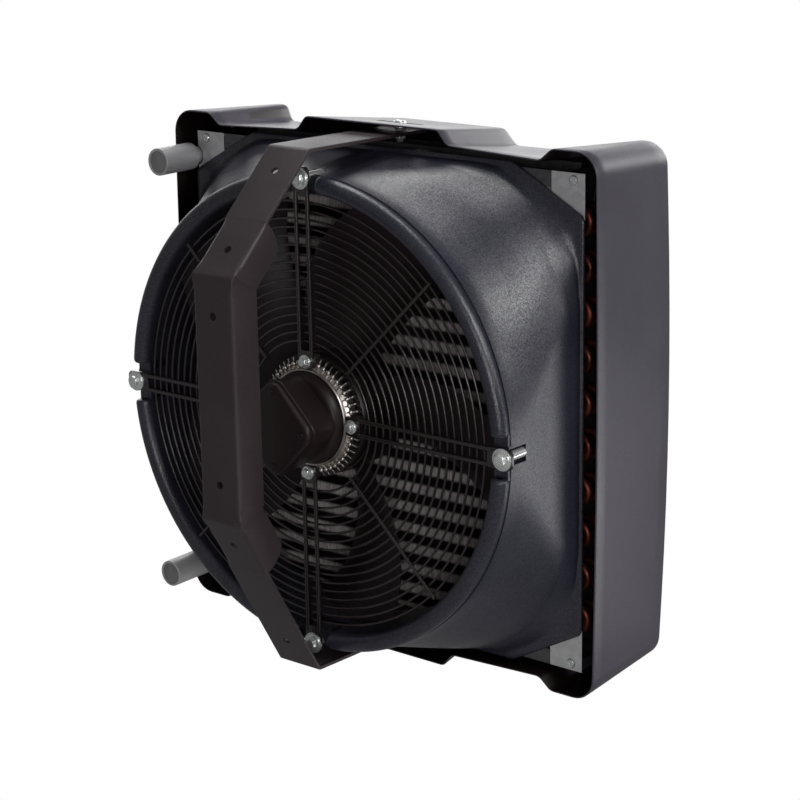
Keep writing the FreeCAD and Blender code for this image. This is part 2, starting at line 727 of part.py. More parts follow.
def stator_core():
    core = rod(V(0, -76, 0), V(0, -32, 0), 44.0).cut(rod(V(0, -76, 0), V(0, -32, 0), 15.0))
    for k in range(24):
        slot = box(40, 46, -77, -31, -1.2, 1.2)
        core = core.cut(turned(slot, 15 * k))
    return core


def windings():
    rings = []
    for y in (-86.0, -31.8):
        ring = rod(V(0, y, 0), V(0, y + 9.5, 0), 38.0).cut(rod(V(0, y, 0), V(0, y + 9.5, 0), 19.0))
        rings.append(ring)
    return rings


def terminal_cover():
    """Black terminal housing: a round base and a square box set on its corner."""
    base_y = tab_face() - 2.0
    base = revolve_y([(0, base_y), (COVER_R, base_y), (COVER_R, base_y + 5), (COVER_R - 4, base_y + 13),
                      (0, base_y + 13)])
    reach = 61.0
    floor = base_y + 4
    diamond = [V(reach, base_y + 10, 0), V(0, base_y + 10, reach), V(-reach, base_y + 10, 0),
               V(0, base_y + 10, -reach)]
    box_part = prism(diamond, [17.0] * 4, V(0, BOX_DEPTH, 0))
    lift = V(0, BOX_DEPTH - 0.5 - 0.03 * (base_y + 10), 0)
    rim = prism([p * 1.03 + lift for p in diamond], [18.0] * 4, V(0, 4, 0))
    inner = reach - 5
    hollow = [V(inner, floor, 0), V(0, floor, inner), V(-inner, floor, 0), V(0, floor, -inner)]
    cavity = prism(hollow, [14.0] * 4, V(0, BOX_DEPTH + 22, 0))
    return base.fuse(box_part).fuse(rim).cut(cavity).removeSplitter()


def terminal_lid():
    base_y = tab_face() - 2.0
    reach = 60.0
    y = base_y + BOX_DEPTH + 13.6
    diamond = [V(reach, y, 0), V(0, y, reach), V(-reach, y, 0), V(0, y, -reach)]
    lid = prism(diamond, [17.0] * 4, V(0, 7, 0))
    return lid.makeChamfer(3.0, [e for e in lid.Edges if e.BoundBox.YMin > y + 6.9])


def lid_screws():
    screws = []
    y = tab_face() - 2.0 + BOX_DEPTH + 20.0
    for k in range(4):
        spot = turned(Part.Vertex(V(43, y, 0)), 90 * k).Point
        screws.append(rod(spot, spot + V(0, 2.2, 0), 3.2))
    return screws


# ---- fan ----
def rotor_bell():
    back = -25.5
    front = -98.0
    shell = revolve_y([(47.5, back), (ROTOR_R - 3, back), (ROTOR_R, back - 3), (ROTOR_R, front + 8),
                       (ROTOR_R - 8, front), (0, front), (0, front + 5), (47.5, front + 5)])
    return shell.cut(rod(V(0, front - 1, 0), V(0, front + 6, 0), 4.0))


def shaft():
    return rod(V(0, -98.0, 0), V(0, -13.0, 0), 4.0)


def hub_ring():
    return revolve_y([(ROTOR_R, -34), (ROTOR_R + 3, -34), (ROTOR_R + 3, -90), (ROTOR_R, -90)])


def blade_section(radius, sweep, chord, pitch, depth):
    """Thin cambered section in a plane square to the blade's radius."""
    half = chord / 2
    bow = chord * 0.07
    thick = 2.2
    points = [V(-half, 0, 0), V(0, bow, 0), V(half, 0, 0), V(0, bow - thick, 0)]
    upper = Part.Arc(points[0], points[1], points[2]).toShape()
    edge_drop = V(0, -thick * 0.5, 0)
    lower = Part.Arc(points[2] + edge_drop, points[3], points[0] + edge_drop).toShape()
    wire = Part.Wire([upper, Part.makeLine(points[2], points[2] + edge_drop), lower,
                      Part.makeLine(points[0] + edge_drop, points[0])])
    wire.rotate(V(0, 0, 0), V(0, 0, 1), pitch)
    # x of the section becomes the tangent, y the fan axis, z the radius
    wire.rotate(V(0, 0, 0), V(0, 1, 0), 90)
    wire.translate(V(radius, depth, 0))
    wire.rotate(V(0, 0, 0), V(0, 1, 0), sweep)
    return wire


def fan_blade(index):
    sections = [(66.0, 0.0, 78.0, 38.0, -62.0), (110.0, -3.0, 112.0, 32.0, -62.0),
                (160.0, -8.0, 140.0, 27.0, -62.0), (210.0, -16.0, 160.0, 23.0, -62.0),
                (256.0, -26.0, 172.0, 20.0, -62.0)]
    wires = [blade_section(*section) for section in sections]
    blade = Part.makeLoft(wires, True, False)
    tip = rod(V(0, -130, 0), V(0, 0, 0), FAN_TIP_R)
    root = rod(V(0, -130, 0), V(0, 0, 0), ROTOR_R + 3)
    return turned(blade.common(tip).cut(root), BLADE_START + 360.0 / BLADE_COUNT * index)


# ---- swivel fixings ----
def pivot_bolts():
    """Low round heads on the casing's bridges, with shanks down through the arms."""
    bolts = []
    for side in (1, -1):
        up = bridge_outward(side)
        seat = V(0, PIVOT_Y, bridge_height(PIVOT_Y, side)) + up * 0.1
        head = Part.makeCone(7.6, 6.0, 2.6, seat, up)
        head = head.cut(hexagon(6.0, 3.0, seat + up * 1.2, up))
        top = V(0, PIVOT_Y, bridge_height(PIVOT_Y, side) + side)
        tip = V(0, PIVOT_Y, arm_height(side) - side * 16)
        bolts.append(head.fuse(rod(tip, top, 4.0)))
    return bolts


def pivot_spacers():
    """Flanged hexagon spacers between each arm and the casing."""
    rings = []
    for side in (1, -1):
        up = V(0, 0, side)
        foot = V(0, PIVOT_Y, arm_height(side) + side * 0.7)
        roof = abs(bridge_height(PIVOT_Y - 10, side)) - CASE_WALL - 0.4
        height = roof - abs(foot.z)
        ring = Part.makeCylinder(7.4, 1.3, foot, up).fuse(hexagon(11.0, height, foot, up))
        rings.append(ring.cut(rod(foot - up, foot + up * (height + 1), 4.0)))
    return rings


def pivot_nuts():
    nuts = []
    for side in (1, -1):
        up = V(0, 0, side)
        base = V(0, PIVOT_Y, arm_height(side) - side * (PLATE + 0.6))
        nut = hexagon(13.0, 7.0, base, up * -1)
        nuts.append(nut.cut(rod(base - V(0, 0, 20), base + V(0, 0, 20), 4.0)))
    return nuts


# ---- small frame screws ----
def frame_screws():
    screws = []
    for x in (-FRAME_SCREW_X, FRAME_SCREW_X):
        for z in (-FRAME_SCREW_Z, FRAME_SCREW_Z):
            spot = V(x, COIL_BACK, z)
            head = Part.makeCone(6.2, 4.6, 2.2, spot, V(0, 1, 0))
            head = head.cut(hexagon(4.0, 3.0, spot + V(0, 1.0, 0), V(0, 1, 0)))
            screws.append(head.fuse(rod(spot - V(0, 8, 0), spot + V(0, 0.5, 0), 2.0)))
    return screws


def main():
    os.makedirs("parts", exist_ok=True)
    supply_row, return_row = tube_rows()
    save("wall_bracket", wall_bracket())
    save("casing", casing())
    save("louvre_frame", louvre_frame())
    save("louvre_bushes", louvre_bushes())
    for i in range(LOUVRE_COUNT):
        save("louvre_%d" % (i + 1), louvre(i))
    save("coil_end_plate_left", end_plate(1))
    save("coil_end_plate_right", end_plate(-1))
    top = channel("x")
    save("coil_top_plate", top)
    save("coil_bottom_plate", channel("x").mirror(V(0, 0, 0), V(0, 0, 1)))
    save("coil_tubes", coil_tubes())
    save("coil_fins", fins())
    save("return_bends", right_bends())
    save("crossover_bends", left_bends())
    save("supply_header", header(supply_row, SUPPLY_Z - 18, 236.0))
    save("return_header", header(return_row, -250.0, RETURN_Z + 18))
    save("supply_feeders", feeders(supply_row))
    save("return_feeders", feeders(return_row))
    save("supply_pipe", stub(SUPPLY_Z, supply_row, SUPPLY_END_Y))
    save("return_pipe", stub(RETURN_Z, return_row, RETURN_END_Y))
    save("pipe_plugs", [stub_plug(SUPPLY_Z, SUPPLY_END_Y), stub_plug(RETURN_Z, RETURN_END_Y)])
    save("frame_screws", frame_screws())
    save("shroud", shroud())
    save("guard_rings", guard_rings())
    save("guard_spokes", guard_spokes())
    seat = tab_face() + 1.4
    save("guard_bolts", quarter_turns(hex_bolt(GUARD_BOLT_R, seat, 50.0, 13.0, 2.5)))
    save("guard_washers", quarter_turns(washer(GUARD_BOLT_R, tab_face(), 12.3, 3.2, 1.4)))
    spacer = pipe(V(GUARD_BOLT_R, SPACER_FLOOR_Y, 0), V(GUARD_BOLT_R, tab_face() - 3.0, 0), 5.5, 2.3)
    save("guard_spacers", quarter_turns(spacer))
    nut = hexagon(8.0, 4.0, V(GUARD_BOLT_R, SPACER_FLOOR_Y - 5, 0), V(0, -1, 0))
    nut = nut.cut(rod(V(GUARD_BOLT_R, -60, 0), V(GUARD_BOLT_R, -30, 0), 2.5))
    save("guard_nuts", quarter_turns(nut))
    save("motor_stator", motor_stator())
    save("motor_bolts", quarter_turns(hex_bolt(MOTOR_BOLT_R, seat, 16.0, 10.0, 2.5)))
    save("motor_washers", quarter_turns(washer(MOTOR_BOLT_R, tab_face(), 8.0, 3.0, 1.4)))
    save("stator_core", stator_core())
    save("windings", windings())
    save("bearings", bearings())
    save("terminal_housing", terminal_cover())
    save("terminal_lid", terminal_lid())
    save("lid_screws", lid_screws())
    save("rotor_bell", rotor_bell())
    save("fan_hub_ring", hub_ring())
    save("fan_shaft", shaft())
    for i in range(BLADE_COUNT):
        save("fan_blade_%d" % (i + 1), fan_blade(i))
    save("pivot_bolts", pivot_bolts())
    save("pivot_spacers", pivot_spacers())
    save("pivot_nuts", pivot_nuts())


main()
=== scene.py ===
import json
import math

import bmesh
import bpy
from mathutils import Matrix, Vector

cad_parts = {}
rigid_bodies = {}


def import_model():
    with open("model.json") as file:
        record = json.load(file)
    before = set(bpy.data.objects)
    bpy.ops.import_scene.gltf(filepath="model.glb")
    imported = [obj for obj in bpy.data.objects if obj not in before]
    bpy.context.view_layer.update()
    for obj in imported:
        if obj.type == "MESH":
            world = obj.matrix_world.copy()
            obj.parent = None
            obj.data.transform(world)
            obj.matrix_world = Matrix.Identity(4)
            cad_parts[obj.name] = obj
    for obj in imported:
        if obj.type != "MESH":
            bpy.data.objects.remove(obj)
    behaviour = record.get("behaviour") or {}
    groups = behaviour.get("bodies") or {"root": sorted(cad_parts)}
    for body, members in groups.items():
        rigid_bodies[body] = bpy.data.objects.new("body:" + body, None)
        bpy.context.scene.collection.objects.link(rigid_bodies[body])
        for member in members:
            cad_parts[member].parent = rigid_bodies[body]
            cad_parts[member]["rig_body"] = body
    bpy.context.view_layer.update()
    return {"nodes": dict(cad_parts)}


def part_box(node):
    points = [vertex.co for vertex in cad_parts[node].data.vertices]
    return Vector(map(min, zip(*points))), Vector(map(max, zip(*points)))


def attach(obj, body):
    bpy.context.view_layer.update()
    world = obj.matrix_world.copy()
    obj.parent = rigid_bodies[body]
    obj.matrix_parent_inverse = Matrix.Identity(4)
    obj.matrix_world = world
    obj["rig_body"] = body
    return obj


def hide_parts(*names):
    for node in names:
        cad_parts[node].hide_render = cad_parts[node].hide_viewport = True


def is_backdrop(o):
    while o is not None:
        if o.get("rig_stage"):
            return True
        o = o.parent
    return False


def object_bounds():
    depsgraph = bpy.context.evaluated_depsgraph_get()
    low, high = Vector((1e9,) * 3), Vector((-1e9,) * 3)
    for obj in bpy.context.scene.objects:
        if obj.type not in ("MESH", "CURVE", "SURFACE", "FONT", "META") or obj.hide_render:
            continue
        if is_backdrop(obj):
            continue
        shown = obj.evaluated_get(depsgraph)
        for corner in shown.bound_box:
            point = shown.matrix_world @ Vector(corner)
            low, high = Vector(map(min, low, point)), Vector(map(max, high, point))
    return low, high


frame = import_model()
NODES = frame["nodes"]

# All sizes below are millimetres from the fan's axis, +Y to the wall. The bracket's wall face is
# at y = WALL_FACE, the line through both pivots at y = PIVOT_Y. K turns them into the frame's metres.
K = 0.001
WALL_FACE, PIVOT_Y = 139.5, -181.0
TUBE_PITCH = 25.4
ring_low, ring_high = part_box("guard_rings")
AXIS = (ring_low + ring_high) / 2
AXIS.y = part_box("wall_bracket")[1].y - WALL_FACE * K


def at(x, y, z):
    """A millimetre point in the frame's metres."""
    return Vector((x, y, z)) * K + AXIS


# ---------------------------------------------------------------- materials
class Nodes:
    """Small builder for a node material."""

    def __init__(self, name):
        self.mat = bpy.data.materials.new(name)
        self.mat.use_nodes = True
        self.tree = self.mat.node_tree
        self.shader = self.tree.nodes["Principled BSDF"]

    def add(self, kind, **inputs):
        node = self.tree.nodes.new(kind)
        for key, value in inputs.items():
            if key[0] == "_":
                setattr(node, key[1:], value)
        for key, value in inputs.items():
            if key[0] != "_":
                self.put(node, key, value)
        return node

    def put(self, node, key, value):
        socket = node.inputs[int(key[1:])] if key[0] == "i" and key[1:].isdigit() else node.inputs[key]
        if isinstance(value, bpy.types.NodeSocket):
            self.tree.links.new(value, socket)
        else:
            socket.default_value = value

    def place(self, scale=(1, 1, 1)):
        coords = self.add("ShaderNodeTexCoord").outputs["Object"]
        return self.add("ShaderNodeMapping", Vector=coords, Scale=scale).outputs[0]

    def noise(self, vector, scale, detail=3.0, rough=0.5):
        node = self.add("ShaderNodeTexNoise", Vector=vector, Scale=scale, Detail=detail, Roughness=rough)
        return node.outputs[0]

    def span(self, value, low, high, to_low, to_high):
        node = self.add("ShaderNodeMapRange", Value=value)
        ends = {"From Min": low, "From Max": high, "To Min": to_low, "To Max": to_high}
        for key, number in ends.items():
            node.inputs[key].default_value = number
        return node.outputs[0]

    def mix(self, factor, a, b):
        node = self.add("ShaderNodeMix", _data_type="RGBA")
        self.put(node, "i0", factor)
        self.put(node, "i6", a)
        self.put(node, "i7", b)
        return node.outputs[2]

    def math(self, op, a, b=0.0):
        node = self.add("ShaderNodeMath", _operation=op)
        self.put(node, "i0", a)
        self.put(node, "i1", b)
        return node.outputs[0]

    def bump(self, height, strength, distance):
        node = self.add("ShaderNodeBump", Height=height, Strength=strength, Distance=distance)
        self.put(self.shader, "Normal", node.outputs[0])

    def set(self, **values):
        for key, value in values.items():
            self.put(self.shader, key.replace("_", " "), value)


def rgb(r, g, b):
    return (r, g, b, 1.0)


def painted(name, dark, light, rough, grain, strength, specular=0.5, sparkle=0.0, inside_shade=None):
    """Moulded plastic or powder coat: slow colour drift, varying gloss and a fine grain.

    Sparkle varies the gloss from grain to grain. The colour given for the faces turned inwards is painted
    shade, used also on the walls of the pivot bolts' slots.
    """
    m = Nodes(name)
    v = m.place()
    slow = m.noise(v, 9.0, 4.0)
    fine = m.noise(v, grain, 2.0, 0.6)
    m.set(Base_Color=m.mix(m.span(slow, 0.3, 0.7, 0.0, 1.0), rgb(*dark), rgb(*light)),
          Roughness=m.math("ADD", m.span(slow, 0.3, 0.7, rough - 0.04, rough + 0.04),
                           m.span(fine, 0.3, 0.7, -0.05, 0.05)))
    m.shader.inputs["Specular IOR Level"].default_value = specular
    if sparkle:
        cells = m.add("ShaderNodeTexVoronoi", Vector=v, Scale=1000.0).outputs["Color"]
        glint = m.add("ShaderNodeSeparateColor", Color=cells).outputs[0]
        gloss = m.span(glint, 0.0, 1.0, specular * (1 - sparkle), specular * (1 + sparkle))
        m.put(m.shader, "Specular IOR Level", gloss)
    if inside_shade:
        # painted shade: faces turned towards the fan's axis are darkened
        coords = m.add("ShaderNodeTexCoord")
        place = coords.outputs["Object"]
        normal = coords.outputs["Normal"]
        spot = m.add("ShaderNodeVectorMath", _operation="SUBTRACT", i0=place, i1=tuple(AXIS)).outputs[0]
        spot = m.add("ShaderNodeVectorMath", _operation="MULTIPLY", i0=spot, i1=(1, 0, 1)).outputs[0]
        facing = m.add("ShaderNodeVectorMath", _operation="DOT_PRODUCT", i0=spot, i1=normal).outputs[1]
        shade = m.span(facing, -0.02, -0.01, 1.0, 0.0)
        # and painted shade on the walls of the slots round the pivot bolts
        depth = m.add("ShaderNodeSeparateXYZ", Vector=place).outputs[1]
        back = m.add("ShaderNodeSeparateXYZ", Vector=normal).outputs[1]
        deep = m.span(depth, AXIS.y - 0.136, AXIS.y - 0.131, 1.0, 0.0)
        slot = m.math("MULTIPLY", m.span(back, 0.5, 0.7, 0.0, 1.0), deep)
        shade = m.math("MAXIMUM", shade, slot)
        outside = m.shader.inputs["Base Color"].links[0].from_socket
        m.set(Base_Color=m.mix(shade, outside, rgb(*inside_shade)))
    m.bump(fine, strength, 0.0006)
    return m.mat


def metal(name, dark, light, rough, grain=900.0, strength=0.15, metallic=1.0, stretch=(1, 1, 1)):
    """Bare or plated metal: drifting tone, uneven gloss and a fine grain that can be drawn out."""
    m = Nodes(name)
    v = m.place(stretch)
    slow = m.noise(v, 45.0, 4.0)
    fine = m.noise(v, grain, 3.0, 0.6)
    m.set(Base_Color=m.mix(m.span(slow, 0.3, 0.7, 0.0, 1.0), rgb(*dark), rgb(*light)),
          Roughness=m.span(m.math("ADD", slow, fine), 0.7, 1.3, rough - 0.07, rough + 0.08))
    m.shader.inputs["Metallic"].default_value = metallic
    m.bump(fine, strength, 0.0004)
    return m.mat


def galvanised(name, dark, light):
    """Zinc coated sheet with its crystal spangle, and painted shade on the faces not turned towards the wall.
    """
    m = Nodes(name)
    v = m.place()
    cells = m.add("ShaderNodeTexVoronoi", Vector=v, Scale=170.0).outputs["Color"]
    tone = m.add("ShaderNodeSeparateColor", Color=cells).outputs[0]
    fine = m.noise(v, 500.0, 3.0)
    # painted shade: faces not turned towards the wall, such as the webs behind the bends, are darkened; the
    # flanges towards the wall keep the sheet's colour
    normal = m.add("ShaderNodeTexCoord").outputs["Normal"]
    web_shade = m.span(m.add("ShaderNodeSeparateXYZ", Vector=normal).outputs[1], 0.2, 0.6, 1.0, 0.0)
    sheet = m.mix(tone, rgb(*dark), rgb(*light))
    m.set(Base_Color=m.mix(web_shade, sheet, rgb(0.02, 0.012, 0.012)),
          Roughness=m.span(tone, 0.0, 1.0, 0.38, 0.46))
    m.shader.inputs["Metallic"].default_value = 0.6
    m.bump(fine, 0.15, 0.0004)
    return m.mat


def fin_edges():
    """Aluminium fins: rippled light bands on the tube rows, with painted shade near black between them."""
    m = Nodes("fin_aluminium")
    coords = m.add("ShaderNodeTexCoord").outputs["Object"]
    z = m.add("ShaderNodeSeparateXYZ", Vector=coords).outputs[2]
    pitch = TUBE_PITCH * K
    # painted shade between the tube rows: the colour falls to near black halfway between rows
    turn = m.math("MULTIPLY", m.math("SUBTRACT", z, AXIS.z + pitch / 2), 2 * math.pi / pitch)
    wave = m.math("COSINE", turn)
    rows_vs_painted_shade = m.span(wave, -0.25, 0.55, 0.0, 1.0)
    streak = m.add("ShaderNodeMapping", Vector=coords, Scale=(900, 30, 60)).outputs[0]
    lines = m.noise(streak, 1.0, 3.0, 0.6)
    tone = m.math("MULTIPLY", rows_vs_painted_shade, m.span(lines, 0.3, 0.7, 0.45, 1.0))
    m.set(Base_Color=m.mix(tone, rgb(0.010, 0.005, 0.006), rgb(0.95, 0.87, 0.87)))
    m.shader.inputs["Roughness"].default_value = 0.5
    m.bump(lines, 0.2, 0.0005)
    return m.mat


def copper():
    """Dark red-brown tube copper."""
    m = Nodes("copper")
    v = m.place()
    slow = m.noise(v, 60.0, 5.0, 0.6)
    fine = m.noise(v, 800.0, 2.0)
    tint = m.mix(m.span(slow, 0.35, 0.65, 0.0, 1.0), rgb(0.05, 0.012, 0.009), rgb(0.19, 0.05, 0.032))
    m.set(Base_Color=tint, Roughness=m.span(slow, 0.3, 0.7, 0.28, 0.5))
    m.shader.inputs["Metallic"].default_value = 0.85
    m.bump(fine, 0.1, 0.0004)
    return m.mat


MAT = {
    # the casing gets painted shade on its interior and in its pivot slots
    "casing": painted("casing_paint", (0.034, 0.030, 0.043), (0.042, 0.038, 0.053), 0.38, 1500.0, 0.12,
                      sparkle=0.2, inside_shade=(0.005, 0.002, 0.002)),
    "shroud": painted("shroud_plastic", (0.015, 0.015, 0.024), (0.024, 0.024, 0.037), 0.31, 1000.0, 0.4,
                      specular=0.6, sparkle=0.55),
    "bracket": painted("bracket_paint", (0.025, 0.017, 0.020), (0.035, 0.024, 0.027), 0.44, 1300.0, 0.3,
                       specular=0.45, sparkle=0.15),
    "guard": painted("guard_wire", (0.010, 0.006, 0.007), (0.018, 0.011, 0.012), 0.22, 1500.0, 0.1,
                     specular=0.8),
    "blade": painted("blade_plastic", (0.009, 0.004, 0.005), (0.015, 0.007, 0.009), 0.42, 1100.0, 0.3,
                     specular=0.4),
    "rotor": painted("rotor_paint", (0.011, 0.006, 0.007), (0.020, 0.013, 0.014), 0.35, 900.0, 0.3),
    "terminal": painted("terminal_plastic", (0.014, 0.008, 0.009), (0.020, 0.012, 0.013), 0.42, 1400.0, 0.08,
                        specular=0.3),
    "louvre": painted("louvre_plastic", (0.052, 0.050, 0.060), (0.066, 0.064, 0.075), 0.40, 1300.0, 0.15),
    "bush": painted("bush_plastic", (0.42, 0.42, 0.40), (0.5, 0.5, 0.48), 0.5, 1200.0, 0.2),
    "plug": painted("plug_plastic", (0.15, 0.145, 0.15), (0.20, 0.195, 0.20), 0.55, 1500.0, 0.6),
    "pipe": metal("pipe_metal", (0.34, 0.33, 0.34), (0.48, 0.47, 0.48), 0.40,
                  metallic=0.35, stretch=(1, 0.15, 1)),
    "zinc": metal("zinc_fastener", (0.62, 0.65, 0.64), (0.86, 0.88, 0.87), 0.24, 700.0, 0.08, metallic=0.8),
    "spacer": metal("spacer_chrome", (0.78, 0.77, 0.78), (0.93, 0.92, 0.93), 0.16, 700.0, 0.04,
                    metallic=0.75),
    "alloy": metal("motor_alloy", (0.42, 0.38, 0.36), (0.70, 0.65, 0.62), 0.34, 600.0, 0.25),
    "core": metal("core_steel", (0.16, 0.16, 0.17), (0.26, 0.26, 0.27), 0.4),
    "winding": metal("winding_copper", (0.40, 0.16, 0.07), (0.55, 0.25, 0.12), 0.35, metallic=0.8),
    "galvanised": galvanised("galvanised", (0.52, 0.52, 0.53), (0.62, 0.62, 0.63)),
    # a darker copy of the galvanised sheet, as painted shade on the coil's top and bottom plates
    "galvanised_in_shade": galvanised("galvanised_shaded", (0.08, 0.075, 0.08), (0.12, 0.115, 0.12)),
    "fins": fin_edges(),
    "copper": copper(),
}


# ---------------------------------------------------------------- mesh helpers
def finish_piece(name, bm, mat, body, replaces=(), sharp=35, bevel=0.0):
    """Mesh object from bm with its material, soft edges and body."""
    bmesh.ops.remove_doubles(bm, verts=bm.verts, dist=2e-6)
    bmesh.ops.recalc_face_normals(bm, faces=bm.faces)
    mesh = bpy.data.meshes.new(name)
    bm.to_mesh(mesh)
    bm.free()
    obj = bpy.data.objects.new(name, mesh)
    bpy.context.scene.collection.objects.link(obj)
    mesh.shade_smooth()
    if sharp:
        mesh.set_sharp_from_angle(angle=math.radians(sharp))
    mesh.materials.append(MAT[mat])
    if bevel:
        edge = obj.modifiers.new("edge", "BEVEL")
        edge.width = bevel * K
        edge.segments = 2
        edge.limit_method = "ANGLE"
        edge.angle_limit = math.radians(40)
        edge.harden_normals = True
    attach(obj, body)
    if replaces:
        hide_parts(*replaces)
    return obj


def skin(bm, loops, closed_path=False):
    """Faces between neighbouring closed loops of equally many points, capped if the path is open."""
    rows = [[bm.verts.new(p) for p in loop] for loop in loops]
    n = len(rows[0])
    count = len(rows) if closed_path else len(rows) - 1
    for i in range(count):
        a = rows[i]
        b = rows[(i + 1) % len(rows)]
        for k in range(n):
            bm.faces.new((a[k], a[(k + 1) % n], b[(k + 1) % n], b[k]))
    if not closed_path:
        bm.faces.new(rows[0][::-1])
        bm.faces.new(rows[-1])


def lathe(bm, profile, steps):
    """Closed (radius, y) profile turned about the fan's axis."""
    loops = []
    for i in range(steps):
        a = math.radians(360.0 * i / steps)
        loops.append([at(r * math.cos(a), y, -r * math.sin(a)) for r, y in profile])
    skin(bm, loops, closed_path=True)


def tube(bm, points, radius, sides=10, closed=False):
    """Round rod along points in millimetres."""
    pts = [Vector(p) for p in points]
    n = len(pts)
    loops = []
    up = None
    for i, p in enumerate(pts):
        before = pts[i - 1] if i or closed else p
        after = pts[(i + 1) % n] if i < n - 1 or closed else p
        d = (after - before).normalized()
        if up is None:
            up = d.orthogonal().normalized()
        side = d.cross(up).normalized()
        up = side.cross(d).normalized()
        loops.append([at(*(p + (side * math.cos(t) + up * math.sin(t)) * radius))
                      for t in (2 * math.pi * k / sides for k in range(sides))])
    skin(bm, loops, closed_path=closed)


def slab(bm, corners, direction):
    """Prism from a flat polygon of millimetre points."""
    move = Vector(direction)
    base = [bm.verts.new(at(*p)) for p in corners]
    top = [bm.verts.new(at(*(Vector(p) + move))) for p in corners]
    n = len(base)
    bm.faces.new(base[::-1])
    bm.faces.new(top)
    for i in range(n):
        bm.faces.new((base[i], base[(i + 1) % n], top[(i + 1) % n], top[i]))


def fillet(corners, steps=6):
    """Rounded closed outline from (a, b, radius) corners."""
    out = []
    n = len(corners)
    for i in range(n):
        p = Vector(corners[i][:2])
        r = corners[i][2]
        a = (Vector(corners[i - 1][:2]) - p).normalized()
        b = (Vector(corners[(i + 1) % n][:2]) - p).normalized()
        if r <= 0:
            out.append((p.x, p.y))
            continue
        half = a.angle(b) / 2
        enter = p + a * (r / math.tan(half))
        centre = p + (a + b).normalized() * (r / math.sin(half))
        first = enter - centre
        turn = math.pi - 2 * half
        sign = 1 if a.x * b.y - a.y * b.x < 0 else -1
        for k in range(steps + 1):
            t = sign * turn * k / steps
            out.append((centre.x + first.x * math.cos(t) - first.y * math.sin(t),
                        centre.y + first.x * math.sin(t) + first.y * math.cos(t)))
    return out


def spun(point, degrees):
    """A millimetre point turned about the fan's axis, from +X towards -Z."""
    a = math.radians(degrees)
    x, y, z = point
    return (x * math.cos(a) + z * math.sin(a), y, -x * math.sin(a) + z * math.cos(a))


def cut(obj, cutter_mesh):
    """Boolean cut, applied at once; cutter_mesh is a bmesh."""
    mesh = bpy.data.meshes.new("cutter")
    bmesh.ops.recalc_face_normals(cutter_mesh, faces=cutter_mesh.faces)
    cutter_mesh.to_mesh(mesh)
    cutter_mesh.free()
    tool = bpy.data.objects.new("cutter", mesh)
    bpy.context.scene.collection.objects.link(tool)
    boolean = obj.modifiers.new("cut", "BOOLEAN")
    boolean.operation = "DIFFERENCE"
    boolean.solver = "EXACT"
    boolean.object = tool
    bpy.context.view_layer.update()
    graph = bpy.context.evaluated_depsgraph_get()
    made = bpy.data.meshes.new_from_object(obj.evaluated_get(graph))
    obj.modifiers.remove(boolean)
    old = obj.data
    obj.data = made
    bpy.data.meshes.remove(old)
    bpy.data.objects.remove(tool)
    made.shade_smooth()
    made.set_sharp_from_angle(angle=math.radians(35))


def dress(node, mat, bevel=0.0, sharp=30):
    """A clean smooth copy of a CAD node that stands for it."""
    bm = bmesh.new()
    bm.from_mesh(NODES[node].data)
    for f in bm.faces:
        f.material_index = 0
    finish_piece(node + "_dressed", bm, mat, NODES[node]["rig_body"], (node,), sharp, bevel)


# ---------------------------------------------------------------- shroud
LIP_MID, BEAD, CREST = 267.25, 10.25, -10.75


